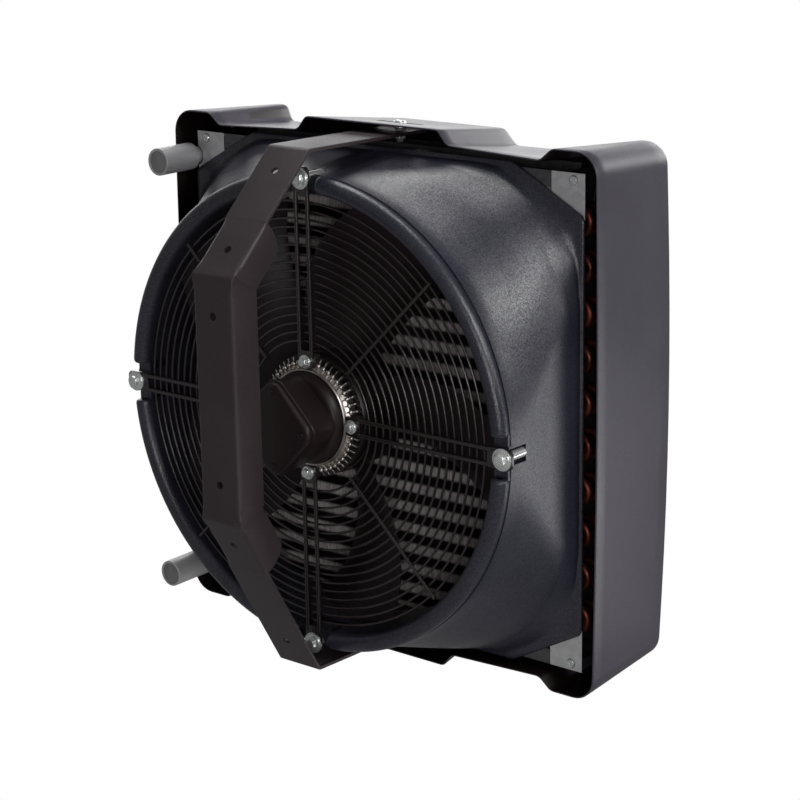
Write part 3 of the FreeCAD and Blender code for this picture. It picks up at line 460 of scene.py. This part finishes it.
def shroud():
    bm = bmesh.new()
    # bell skin, square at the coil and round at the lip
    sections = [(-137.0, 282.0, 284.0, 150.0), (-112.0, 281.0, 282.5, 168.0), (-84.0, 279.5, 280.5, 200.0),
                (-56.0, 278.0, 278.0, 240.0), (-26.0, 276.0, 276.0, 272.0)]

    def section(y):
        """Half width, half height and corner radius of the bell at depth y."""
        for (y0, *a), (y1, *b) in zip(sections, sections[1:]):
            if y <= y1 + 1e-6:
                t = (y - y0) / (y1 - y0)
                return [p + (q - p) * t for p, q in zip(a, b)]
        return list(sections[-1][1:])

    def smooth(y):
        """The same, averaged along y so that the straight parts run into each other."""
        spread = (-9.0, -4.5, 0.0, 4.5, 9.0)
        samples = [section(min(max(y + d, -137.0), -26.0)) for d in spread]
        return [sum(s[i] for s in samples) / len(samples) for i in range(3)]

    def bell_line(y, inset=0.0):
        """The bell's outline at depth y."""
        w, h, r = [v - inset for v in smooth(y)]
        return fillet([(w, h, r), (-w, h, r), (-w, -h, r), (w, -h, r)], 40)

    def loop(y, inset):
        return [at(x, y, z) for x, z in bell_line(y, inset)]

    levels = [-137.0 + 120.0 * i / 28 for i in range(29)]
    skin(bm, [loop(y, 0.0) for y in levels] + [loop(y, 3.0) for y in levels[::-1]], closed_path=True)
    bell = finish_piece("shroud_bell", bm, "shroud", "heater", ("shroud",), 45)
    groove = fillet([(263.0, -9.5, 9.4), (290.0, -9.5, 0), (290.0, 9.5, 0), (263.0, 9.5, 9.4)], 8)
    grooves = bmesh.new()
    for quarter in range(4):
        slab(grooves, [spun((x, -42.0, z), 90 * quarter) for x, z in groove], (0, 32, 0))
    cut(bell, grooves)
    bm = bmesh.new()
    # flange against the coil
    w, h, cx, cz = 285.0, 291.0, 95.0, 53.0
    outline = [(w - cx, h, 8), (-w + cx, h, 8), (-w, h - cz, 8), (-w, -h + cz, 8), (-w + cx, -h, 8),
               (w - cx, -h, 8), (w, -h + cz, 8), (w, h - cz, 8)]
    hole = fillet([(279, 281, 147), (-279, 281, 147), (-279, -281, 147), (279, -281, 147)], 40)

    def ray_out(points, corners, scale):
        """Where the rays from the axis through points meet the outline of corners."""
        out = []
        for x, z in points:
            best = None
            for (x0, z0), (x1, z1) in zip(corners, corners[1:] + corners[:1]):
                dx, dz = x1 - x0, z1 - z0
                det = x * dz - z * dx
                if abs(det) < 1e-9:
                    continue
                t = (x0 * dz - z0 * dx) / det
                u = (x0 * z - z0 * x) / det
                if t > 0 and -1e-6 <= u <= 1 + 1e-6:
                    best = t if best is None else min(best, t)
            out.append((x * best * scale, z * best * scale))
        return out

    rim = ray_out(hole, fillet(outline, 3), 1.0)
    steps = [(0.9985, 1.0, -140.0), (1.0, 1.0, -138.2), (0.9985, 1.0, -137.1), (0.995, 1.0, -136.3),
             (0.985, 0.97, -135.5), (0.985, 0.85, -135.0), (0.99, 0.6, -134.0), (0.995, 0.38, -131.5),
             (1.0, 0.2, -127.5), (1.0, 0.08, -121.0), (1.0, 0.02, -113.0), (0.998, 0.0, -106.0)]
    loops = []
    for pull, part, y in steps:
        # part 0 is the bell's own outline at that depth, part 1 the flange's rim
        loops.append([at((a + (c - a) * part) * pull, y, (b + (d - b) * part) * pull)
                      for (a, b), (c, d) in zip(bell_line(y), rim)])
    inner = [(x * 0.999, z * 0.999) for x, z in hole]
    loops += [[at(x, -134.0, z) for x, z in inner], [at(x, -140.0, z) for x, z in inner]]
    skin(bm, loops, closed_path=True)
    # throat
    profile = [(254.0, -45.0), (254.0, -96.0), (257.0, -96.0), (257.0, -45.0)]
    lathe(bm, profile, 160)
    # rolled lip in four quarters, with rounded ends at the bolt gaps
    gap = math.degrees(math.asin(23.0 / LIP_MID))

    def lip_profile(shrink):
        """Section of the rolled lip, made smaller by shrink towards the ends of a quarter."""
        pts = []
        b = BEAD - shrink
        for k in range(17):
            a = math.radians(-40 + 220 * k / 16)
            pts.append((LIP_MID + b * math.cos(a), CREST + b * math.sin(a)))
        bell = [(257.0, -15.0), (256.4, -22.0), (255.0, -32.0), (254.0, -45.0), (256.5, -45.0),
                (257.4, -32.0), (259.5, -22.0), (260.5, -14.0)]
        pts += [(r + shrink * (1 if r < 256.6 else -0.3), y) for r, y in bell]
        for k in range(9):
            a = math.radians(178 - 200 * k / 8)
            pts.append((LIP_MID + max(b - 3, 1.5) * math.cos(a), CREST + max(b - 3, 1.5) * math.sin(a)))
        pts += [(272.4, -19.0), (272.4, -28.0), (275.2 - shrink, -28.0), (274.6 - shrink, -19.5)]
        return pts

    for quarter in range(4):
        loops = []
        a0 = 90 * quarter + gap
        span = 90 - 2 * gap
        stops = [(0.0, 3.2), (0.12, 1.6), (0.35, 0.6), (0.7, 0.1), (1.0, 0.0)]
        angles = [(a0 + d, g) for d, g in stops]
        angles += [(a0 + 1 + (span - 2) * i / 44, 0.0) for i in range(1, 44)]
        angles += [(a0 + span - d, g) for d, g in stops[::-1]]
        for angle, shrink in angles:
            a = math.radians(angle)
            loops.append([at(r * math.cos(a), y, -r * math.sin(a)) for r, y in lip_profile(shrink)])
        skin(bm, loops)
    # floor of each bolt gap and the walls of the spacer's groove
    trough = fillet([(275.6, -9.5, 0), (263.0, -9.5, 9.4), (263.0, 9.5, 9.4), (275.6, 9.5, 0)], 8)
    wall = [(259.5, 12.5), (259.5, -12.5), (275.6, -12.5), (275.6, -9.5)] + trough[1:-1]
    wall += [(275.6, 9.5), (275.6, 12.5)]
    for quarter in range(4):
        a = 90.0 * quarter
        for z0, z1 in ((-26.0, -9.5), (9.5, 26.0)):
            corners = [(256.5, -18.0, z0), (274.5, -18.0, z0), (274.5, -18.0, z1), (256.5, -18.0, z1)]
            slab(bm, [spun(c, a) for c in corners], (0, 5, 0))
        slab(bm, [spun((x, -42.0, z), a) for x, z in wall], (0, 28.9, 0))
        floor = [(259.5, 12.5), (259.5, -12.5), (275.6, -12.5), (275.6, 12.5)]
        slab(bm, [spun((x, -56.0, z), a) for x, z in floor], (0, 14, 0))
    finish_piece("shroud_moulding", bm, "shroud", "heater", (), 45)


shroud()


# ---------------------------------------------------------------- wall bracket
def wall_bracket():
    # outer corners of the bent strip, seen from the side as (y, z)
    chain = [Vector(p) for p in ((-194.0, 305.0), (11.0, 309.5), (WALL_FACE, 188.5), (WALL_FACE, -85.0),
                                 (19.5, -292.0), (-194.0, -300.0))]
    # half the strip's width, its thickness, and the depth of its folded flanges
    half_width, thick, deep = 29.0, 4.0, 38.0

    def bend(i, radius=9.0):
        """Outer curve at corner i, as (point, direction, depth of the section)."""
        p = chain[i]
        a = (chain[i - 1] - p).normalized()
        b = (chain[i + 1] - p).normalized()
        half = a.angle(b) / 2
        centre = p + (a + b).normalized() * (radius / math.sin(half))
        first = p + a * (radius / math.tan(half)) - centre
        out = []
        for k in range(9):
            t = (math.pi - 2 * half) * k / 8
            r = Vector((first.x * math.cos(t) + first.y * math.sin(t),
                        -first.x * math.sin(t) + first.y * math.cos(t)))
            out.append((centre + r, Vector((r.y, -r.x)).normalized(), thick))
        return out

    def section(p, d, depth):
        """Loop across the strip: flat where depth is its thickness, a channel where it's more."""
        inward = Vector((d.y, -d.x))
        if inward.dot(Vector((-40.0, 50.0)) - p) < 0:
            inward = -inward
        s = min(max((depth - thick) / (deep - thick), 0.0), 1.0)
        ro, ri = 0.7 + 4.8 * s, 0.2 + 1.6 * s
        w = half_width
        outer = [(-w, depth), (-w, ro)]
        for k in range(1, 7):
            t = math.pi / 2 * k / 6
            outer.append((-w + ro - ro * math.cos(t), ro - ro * math.sin(t)))
        outer += [(-x, y) for x, y in outer[::-1]]
        wi = w - thick
        inner = [(wi, max(depth, thick)), (wi, thick + ri)]
        for k in range(1, 5):
            t = math.pi / 2 * k / 4
            inner.append((wi - ri + ri * math.cos(t), thick + ri - ri * math.sin(t)))
        inner += [(-x, y) for x, y in inner[::-1]]
        return [at(x, *(p + inward * u)) for x, u in outer + inner]

    def straight(p, q, depths):
        """Sections between p and q, from (run from p, depth) pairs."""
        d = (q - p).normalized()
        return [(p + d * run, d, depth) for run, depth in depths]

    # (run, depth) of the flanges beside the two outer bends and at the ends of the middle
    rise = [(5.0, 20.0), (8.0, 26.5), (12.8, deep)]
    gusset = [(0.0, thick), (3.2, thick), (3.3, 15.5), *rise, (58.0, deep), (63.0, 36.5), (67.0, 32.5),
              (69.5, 27.5), (72.0, 21.0), (73.5, 15.0), (73.9, 9.0), (74.0, thick)]
    ends = [(3.0, thick), (3.1, 15.5), *rise]
    bends = [bend(i) for i in range(1, 5)]
    path = [(chain[0], (chain[1] - chain[0]).normalized(), thick)] + bends[0]
    p, q = bends[0][-1][0], bends[1][0][0]
    path += straight(p, q, [((q - p).length - u, depth) for u, depth in gusset[::-1]]) + bends[1]
    p, q = bends[1][-1][0], bends[2][0][0]
    path += straight(p, q, ends + [((q - p).length - u, depth) for u, depth in ends[::-1]]) + bends[2]
    path += straight(bends[2][-1][0], bends[3][0][0], gusset) + bends[3]
    path.append((chain[-1], (chain[-1] - chain[-2]).normalized(), thick))
    bm = bmesh.new()
    skin(bm, [section(*p) for p in path])
    obj = finish_piece("wall_bracket_plate", bm, "bracket", "bracket", ("wall_bracket",), 35)
    holes = bmesh.new()

    def drill(p, n, radius):
        """Hole through the strip at p, along n."""
        tube(holes, [(0, *(p - n * 12)), (0, *(p + n * 12))], radius, 28)

    # two wall holes, then two holes in each of the two slopes
    middle, half_spacing = 51.75, 94
    for z in (middle - half_spacing, middle + half_spacing):
        drill(Vector((WALL_FACE, z)), Vector((1, 0)), 4.5)
    corners = bmesh.new()
    for i, j, far in ((2, 1, 33.5), (3, 4, 43.0)):
        length = (chain[j] - chain[i]).length
        d = (chain[j] - chain[i]).normalized()
        n = Vector((-abs(d.y), -abs(d.x) if d.y > 0 else abs(d.x)))
        for u in (36.5, length - far):
            drill(chain[i] + d * u, n, 4.5)
        # the folded flanges close up against each other at the bend
        web = Vector((-1.0, 0.0))
        down = Vector((0.0, -math.copysign(1.0, d.y)))
        mitre = (n + web) / (1 + n.dot(web))
        c = chain[i]
        plate = [c + mitre * 2.0, c + d * 18 + n * 2.0, c + d * 18 + n * 36.5, c + mitre * 36.5,
                 c + down * 18 + web * 36.5, c + down * 18 + web * 2.0]
        for x in (25.2, -28.8):
            slab(corners, [(x, *q) for q in plate], (3.6, 0, 0))
    for z in (305.0, -300.0):
        drill(Vector((PIVOT_Y, z)), Vector((0, 1)), 4.05)
    cut(obj, holes)
    finish_piece("wall_bracket_corners", corners, "bracket", "bracket", bevel=0.5)


wall_bracket()


# ---------------------------------------------------------------- casing
BACK, FRONT = -126.0, -286.0


def casing():
    # corners of the upper right quarter as (x, z, radius), at the rear edge and at the front face
    rear = [(308.6, 311.0, 28.0), (250.0, 311.0, 14.0), (234.0, 297.3, 12.0), (110.0, 302.4, 12.0),
            (97.0, 318.5, 10.0)]
    fore = [(298.0, 304.5, 27.0), (262.0, 304.5, 9.0), (255.0, 284.5, 9.0), (94.0, 283.0, 12.0),
            (76.0, 302.0, 12.0)]

    def outline(y, inset=0.0):
        """The casing's outline at depth y, moved inwards by inset."""
        t = (BACK - y) / (BACK - FRONT)
        half = [[p + (q - p) * t for p, q in zip(a, b)] for a, b in zip(rear, fore)]
        side = 313.6 - 1.8 * t
        bow = (side, 0.0, 230.0 * half[0][1] / (side - half[0][0]))
        corners = half + [(-x, z, r) for x, z, r in half[::-1]] + [(-bow[0], 0.0, bow[2])]
        corners += [(-x, -z, r) for x, z, r in half] + [(x, -z, r) for x, z, r in half[::-1]] + [bow]
        flat = [Vector((x, z - 4.0 * t)) for x, z, r in corners]
        moved = []
        for i, p in enumerate(flat):
            a = (p - flat[i - 1]).normalized()
            b = (flat[(i + 1) % len(flat)] - p).normalized()
            m = (Vector((-a.y, a.x)) + Vector((-b.y, b.x))).normalized()
            q = p + m * (inset / m.dot(Vector((-a.y, a.x))))
            turn = a.x * b.y - a.y * b.x
            moved.append((q.x, q.y, max(corners[i][2] - math.copysign(inset, turn), 0.5)))
        return fillet(moved, 8)

    def mouth(points):
        """The outline's points moved in to the square opening at the front."""
        out = []
        h, r = 264.0, 24.0
        for x, z in points:
            t = h / max(abs(x), abs(z))
            px, pz = x * t, z * t
            c = h - r
            if abs(px) > c and abs(pz) > c:
                cx, cz = math.copysign(c, px), math.copysign(c, pz)
                ux, uz = px / math.hypot(px, pz), pz / math.hypot(px, pz)
                b = cx * ux + cz * uz
                k = b + math.sqrt(max(b * b - cx * cx - cz * cz + r * r, 0))
                px, pz = ux * k, uz * k
            out.append((px, pz))
        return out

    levels = []
    for inset, y in ((0.9, BACK), (0.35, BACK - 0.35), (0.0, BACK - 1.1), (0.0, BACK - 20.0),
                     (0.0, BACK - 70.0), (0.0, FRONT + 30.0), (0.0, FRONT + 9.0)):
        levels.append((outline(y, inset), y))
    for k in range(1, 7):
        t = math.pi / 2 * k / 6
        inset = 9.0 * (1 - math.cos(t)) + 0.25 * k
        levels.append((outline(FRONT + 9.0, inset), FRONT + 9.0 - 9.0 * math.sin(t)))
    face = outline(FRONT + 9.0, 11.5)
    levels.append((face, FRONT))
    ring = mouth(face)
    levels += [([(x * 1.004, z * 1.004) for x, z in ring], FRONT), (ring, FRONT + 1.0), (ring, FRONT + 3.0)]
    levels += [(outline(FRONT + 3.0, 11.0), FRONT + 3.0), (outline(FRONT + 12.0, 2.0), FRONT + 12.0)]
    levels += [(outline(BACK - 60.0, 2.0), BACK - 60.0), (outline(BACK - 1.0, 2.0), BACK - 1.0),
               (outline(BACK, 1.7), BACK)]
    bm = bmesh.new()
    skin(bm, [[at(x, y, z) for x, z in pts] for pts, y in levels], closed_path=True)
    obj = finish_piece("casing_shell", bm, "casing", "heater", ("casing",), 40)
    # slots for the pivot bolts, in the top and the bottom
    slot = bmesh.new()
    half, r, corner = 34.0, 5.5, 5.4
    pts = fillet([(half, r, corner), (-half, r, corner), (-half, -r, corner), (half, -r, corner)], 8)
    for z in (311.4, -314.2):
        slab(slot, [(x, PIVOT_Y + y, z - 10) for x, y in pts], (0, 0, 20))
    cut(obj, slot)


casing()


# ---------------------------------------------------------------- coil
def coil():
    bm = bmesh.new()
    ys = [-148.0 - 44.0 * j / 8 for j in range(9)]
    count, pitch, half_thick, half_high = 248, 2.1, 0.11, 266.0
    for i in range(count):
        x = (i - (count - 1) / 2) * pitch
        wave = [0.55 * math.sin(j * math.pi / 2 + 0.6) for j in range(9)]
        left = [(x + w - half_thick, y) for w, y in zip(wave, ys)]
        right = [(x + w + half_thick, y) for w, y in zip(wave, ys)]
        slab(bm, [(px, y, -half_high) for px, y in left + right[::-1]], (0, 0, 2 * half_high))
    finish_piece("coil_fin_pack", bm, "fins", "heater", ("coil_fins",), 25)


coil()
for node in ("coil_end_plate_left", "coil_end_plate_right"):
    dress(node, "galvanised", bevel=0.25)
# the coil's top and bottom plates take the darker copy, as painted shade
for node in ("coil_top_plate", "coil_bottom_plate"):
    dress(node, "galvanised_in_shade", bevel=0.25)
for node in ("coil_tubes", "return_bends", "crossover_bends", "supply_feeders", "return_feeders",
             "supply_header", "return_header"):
    dress(node, "copper")
for node in ("supply_pipe", "return_pipe"):
    dress(node, "pipe", bevel=0.5)
dress("pipe_plugs", "plug", bevel=0.6)
dress("frame_screws", "zinc", bevel=0.15)

# ---------------------------------------------------------------- front
dress("louvre_frame", "louvre", bevel=0.8)
dress("louvre_bushes", "bush", bevel=0.3)
for i in range(1, 9):
    dress("louvre_%d" % i, "louvre", bevel=0.3)


# ---------------------------------------------------------------- guard
# the rings, the radii of the two bolt circles, and the depths of the rings, the spokes and the tabs' faces
RING_COUNT, RING_PITCH, RING_OUTER = 17, 9.9, 246.0
BOLT_CIRCLE, MOTOR_CIRCLE = 272.5, 65.0
GUARD_Y = -10.5
SPOKE_Y = GUARD_Y + 4.0 - 0.4
TAB_FACE = SPOKE_Y + 1.5


def guard():
    bm = bmesh.new()
    for k in range(RING_COUNT):
        r = RING_OUTER - RING_PITCH * k
        turns = [2 * math.pi * i / 160 for i in range(160)]
        tube(bm, [(r * math.cos(t), GUARD_Y, r * math.sin(t)) for t in turns], 1.5, 8, closed=True)
    finish_piece("guard_ring_wires", bm, "guard", "heater", ("guard_rings",), 0)
    bm = bmesh.new()
    y = SPOKE_Y
    for quarter in range(4):
        # a pair of rods with a tab at each end, then a single rod halfway to the next pair
        a = 90 * quarter
        for z in (-8.5, 8.5):
            tube(bm, [spun((74.0, y, z), a), spun((259.0, y, z), a)], 2.5, 14)
        for radius, inner, outer in ((BOLT_CIRCLE, 20.0, 13.0), (MOTOR_CIRCLE, 8.0, 13.0)):
            x0, x1 = radius - inner, radius + outer
            pts = fillet([(x0, -11, 3), (x1, -11, 6), (x1, 11, 6), (x0, 11, 3)], 5)
            slab(bm, [spun((px, y - 1.5, pz), a) for px, pz in pts], (0, 3, 0))
        tube(bm, [spun((84.6, y - 0.5, 0), a + 45), spun((252.0, y - 0.5, 0), a + 45)], 2.0, 12)
    finish_piece("guard_spoke_rods", bm, "guard", "heater", ("guard_spokes",), 40)


guard()


def bolt_at(bm, spot, across, flange, height):
    """Domed hex head with a round flange, standing along +Y on spot."""
    x, y, z = spot
    turns = [2 * math.pi * k / 36 for k in range(36)]

    def loop(radii, h):
        return [at(x + r * math.cos(t), y + h, z + r * math.sin(t)) for r, t in zip(radii, turns)]

    steps = ((flange * 0.97, 0.0), (flange, 0.25), (flange, 0.8), (flange * 0.96, 1.15), (across * 0.58, 1.8))
    skin(bm, [loop([r] * 36, h) for r, h in steps])
    flats = [across / 2 / math.cos((t - math.radians(20)) % (math.pi / 3) - math.pi / 6) for t in turns]
    loops = []
    for grow, h in ((1.0, 1.2), (1.0, height - 1.2), (0.985, height - 0.8), (0.93, height - 0.35),
                    (0.84, height - 0.1), (0.6, height), (0.3, height)):
        loops.append(loop([min(f, across * 0.55) * grow for f in flats], h))
    skin(bm, loops)


def fixings():
    bm = bmesh.new()
    seat = TAB_FACE + 1.4
    for quarter in range(4):
        x, _, z = spun((BOLT_CIRCLE, 0, 0), 90 * quarter)
        bolt_at(bm, (x, seat, z), 13.0, 10.1, 6.4)
        tube(bm, [(x, seat + 0.5, z), (x, seat - 50, z)], 2.5, 16)
    finish_piece("guard_bolt_heads", bm, "zinc", "heater", ("guard_bolts",), 30)
    bm = bmesh.new()
    for quarter in range(4):
        x, _, z = spun((MOTOR_CIRCLE, 0, 0), 90 * quarter)
        bolt_at(bm, (x, seat, z), 10.0, 7.8, 5.6)
        tube(bm, [(x, seat + 0.5, z), (x, seat - 16, z)], 2.5, 16)
    finish_piece("motor_bolt_heads", bm, "zinc", "heater", ("motor_bolts",), 30)


fixings()
dress("guard_washers", "zinc", bevel=0.3)
dress("motor_washers", "zinc", bevel=0.3)
dress("guard_nuts", "zinc", bevel=0.3)
dress("guard_spacers", "spacer", bevel=0.3)
dress("pivot_bolts", "zinc", bevel=0.4)
dress("pivot_spacers", "zinc", bevel=0.4)
dress("pivot_nuts", "zinc", bevel=0.4)


# ---------------------------------------------------------------- motor and fan
def motor():
    face = TAB_FACE - 3.0
    bm = bmesh.new()
    profile = [(44.0, face - 6), (44.0, face - 16), (58, face - 16), (60, face - 9), (60, face - 3.6),
               (59.4, face - 3), (56.6, face - 0.4), (56.2, face + 2.9), (55.6, face + 3.5),
               (54.0, face + 3.5), (53.4, face + 3.0), (53.2, face + 1), (16, face + 1), (16, face - 6)]
    lathe(bm, profile, 120)
    count = 52
    for k in range(count):
        angle = 360.0 / count * k
        # no ribs where the bolts' lugs are
        if abs((angle + 45) % 90 - 45) < 11:
            continue
        outer = fillet([(57.0, face - 14, 0), (69.0, face - 14, 1.0), (71.3, face - 8, 2.0),
                        (70.0, face - 4.5, 1.2), (66.0, face - 3.4, 2.0), (61.0, face - 0.6, 1.5),
                        (57.0, face - 0.4, 0)], 3)
        slab(bm, [spun((x, y, -0.9), angle) for x, y in outer], Vector(spun((0, 0, 1.8), angle)))
        x, y, z = spun((62.6, face - 2.4, 0), angle)
        bmesh.ops.create_uvsphere(bm, u_segments=12, v_segments=8, radius=3.0 * K,
                                  matrix=Matrix.Translation(at(x, y, z)))
    for quarter in range(4):
        pts = fillet([(50.0, -10.5, 0), (72.0, -10.5, 5), (72.0, 10.5, 5), (50.0, 10.5, 0)], 5)
        slab(bm, [spun((px, face - 12, pz), 90 * quarter) for px, pz in pts], (0, 11.8, 0))
    lathe(bm, [(11.0, face - 78), (15.0, face - 78), (15.0, face - 5), (11.0, face - 5)], 40)
    finish_piece("motor_end_casting", bm, "alloy", "heater", ("motor_stator",), 40, 0.25)

    base = TAB_FACE - 2.0
    bm = bmesh.new()
    profile = [(0.3, base + 12.6), (0.3, base), (52.6, base), (53.0, base + 0.5), (53.0, base + 4.5),
               (52.4, base + 6.5), (50.0, base + 11.5), (48.5, base + 13.0), (44.0, base + 13.6),
               (0.3, base + 13.6)]
    lathe(bm, profile, 96)

    def diamond(reach, radius, y):
        pts = fillet([(reach, 0, radius), (0, reach, radius), (-reach, 0, radius), (0, -reach, radius)], 12)
        return [at(x, y, z) for x, z in pts]

    seam = base + 53.5
    loops = [diamond(57.0, 17, base + 10), diamond(60.2, 17, base + 22), diamond(61.0, 17, seam - 9.5),
             diamond(61.2, 17, seam - 4.9), diamond(62.6, 17.5, seam - 4.1), diamond(62.9, 17.5, seam - 3.1),
             diamond(62.9, 17.5, seam - 1.3), diamond(62.2, 17.2, seam - 0.3), diamond(61.0, 17, seam)]
    skin(bm, loops)
    finish_piece("terminal_box_body", bm, "terminal", "heater", ("terminal_housing",), 40)
    bm = bmesh.new()
    loops = [diamond(60.0, 17, seam + 0.1), diamond(60.2, 17, seam + 2.7), diamond(59.3, 16.6, seam + 4.9),
             diamond(57.2, 15.8, seam + 6.4), diamond(54.5, 15, seam + 7.0), diamond(50.0, 13, seam + 7.1)]
    skin(bm, loops)
    finish_piece("terminal_box_lid", bm, "terminal", "heater", ("terminal_lid",), 50)


motor()
dress("lid_screws", "terminal", bevel=0.3)
dress("stator_core", "core")
dress("windings", "winding", bevel=1.0)
dress("bearings", "zinc", bevel=0.3)
dress("rotor_bell", "rotor", bevel=0.6)
dress("fan_hub_ring", "blade", bevel=0.5)
dress("fan_shaft", "zinc", bevel=0.3)
for i in range(1, 6):
    dress("fan_blade_%d" % i, "blade", bevel=0.3, sharp=25)


# ---------------------------------------------------------------- stage, light and camera
def stage():
    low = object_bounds()[0]
    bpy.ops.mesh.primitive_plane_add(size=60, location=(0, 0, low.z - 0.6))
    floor = bpy.context.object
    floor.name = "studio_floor"
    m = bpy.data.materials.new("studio_floor")
    m.use_nodes = True
    shader = m.node_tree.nodes["Principled BSDF"]
    shader.inputs["Base Color"].default_value = rgb(0.9, 0.9, 0.9)
    shader.inputs["Roughness"].default_value = 0.8
    floor.data.materials.append(m)
    floor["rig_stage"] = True
    floor.visible_camera = False
    floor.visible_glossy = False
    bpy.ops.mesh.primitive_uv_sphere_add(radius=40, segments=48, ring_count=24, location=(0, 0, 0))
    dome = bpy.context.object
    dome.name = "studio_backdrop"
    for ray in ("diffuse", "glossy", "transmission", "volume_scatter", "shadow"):
        setattr(dome, "visible_" + ray, False)
    m = bpy.data.materials.new("studio_backdrop")
    m.use_nodes = True
    tree = m.node_tree
    glow = tree.nodes.new("ShaderNodeEmission")
    glow.inputs["Strength"].default_value = 1.0
    tree.links.new(glow.outputs[0], tree.nodes["Material Output"].inputs["Surface"])
    dome.data.materials.append(m)
    dome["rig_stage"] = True
    world = bpy.data.worlds.new("studio")
    bpy.context.scene.world = world
    world.use_nodes = True
    ground = world.node_tree.nodes["Background"]
    ground.inputs["Color"].default_value = (1, 1, 1, 1)
    ground.inputs["Strength"].default_value = 0.2


def area(name, spot, aim, size, power):
    """Rectangular light at spot, turned to aim."""
    data = bpy.data.lights.new(name, "AREA")
    data.shape = "RECTANGLE"
    data.size, data.size_y = size
    data.energy = power
    obj = bpy.data.objects.new(name, data)
    obj.location = spot
    obj.rotation_euler = (Vector(aim) - Vector(spot)).to_track_quat("-Z", "Y").to_euler()
    bpy.context.scene.collection.objects.link(obj)


def camera():
    """Rear three-quarter view from the bracket side, a little above the fan's axis."""
    # from a least-squares fit to bolts and casing edges in the photograph
    azimuth, elevation, distance = math.radians(221.76), math.radians(16.25), 2.410
    away = Vector((math.sin(azimuth) * math.cos(elevation), -math.cos(azimuth) * math.cos(elevation),
                   math.sin(elevation)))
    data = bpy.data.cameras.new("view")
    data.lens = 96.24
    data.sensor_width = 36.0
    data.clip_end = 100
    obj = bpy.data.objects.new("view", data)
    obj.location = AXIS + away * distance
    aim = AXIS + Vector((-0.0811, -0.0726, 0.0183))
    turn = (aim - obj.location).to_track_quat("-Z", "Y").to_matrix()
    roll = Matrix.Rotation(math.radians(-0.98), 3, "Z")
    obj.rotation_euler = (turn @ roll).to_euler()
    bpy.context.scene.collection.objects.link(obj)
    bpy.context.scene.camera = obj


stage()
camera()
# name, place from the fan's axis in metres, size in metres and power in watts
LIGHTS = (("key_top", (0.75, -0.6, 1.9), (1.0, 0.8), 16),
          ("over_shroud", (-0.28, -0.27, 2.0), (0.3, 0.3), 6),
          ("right_high", (-1.61, 0.11, 1.1), (0.35, 0.35), 12),
          ("right_low", (-2.0, -0.85, 0.75), (0.3, 0.7), 6),
          ("low_right", (-1.45, -1.05, -0.55), (0.7, 0.5), 5),
          ("front_band", (-0.3, -2.6, 0.75), (2.0, 0.7), 22),
          ("far_side", (2.1, -2.3, 0.85), (3.8, 1.3), 30),
          ("fill", (-1.7, 1.7, 0.4), (0.7, 0.7), 14))
for name, offset, size, power in LIGHTS:
    area(name, AXIS + Vector(offset), AXIS, size, power)
bpy.context.scene.view_settings.view_transform = "Standard"
bpy.context.scene.view_settings.look = "None"
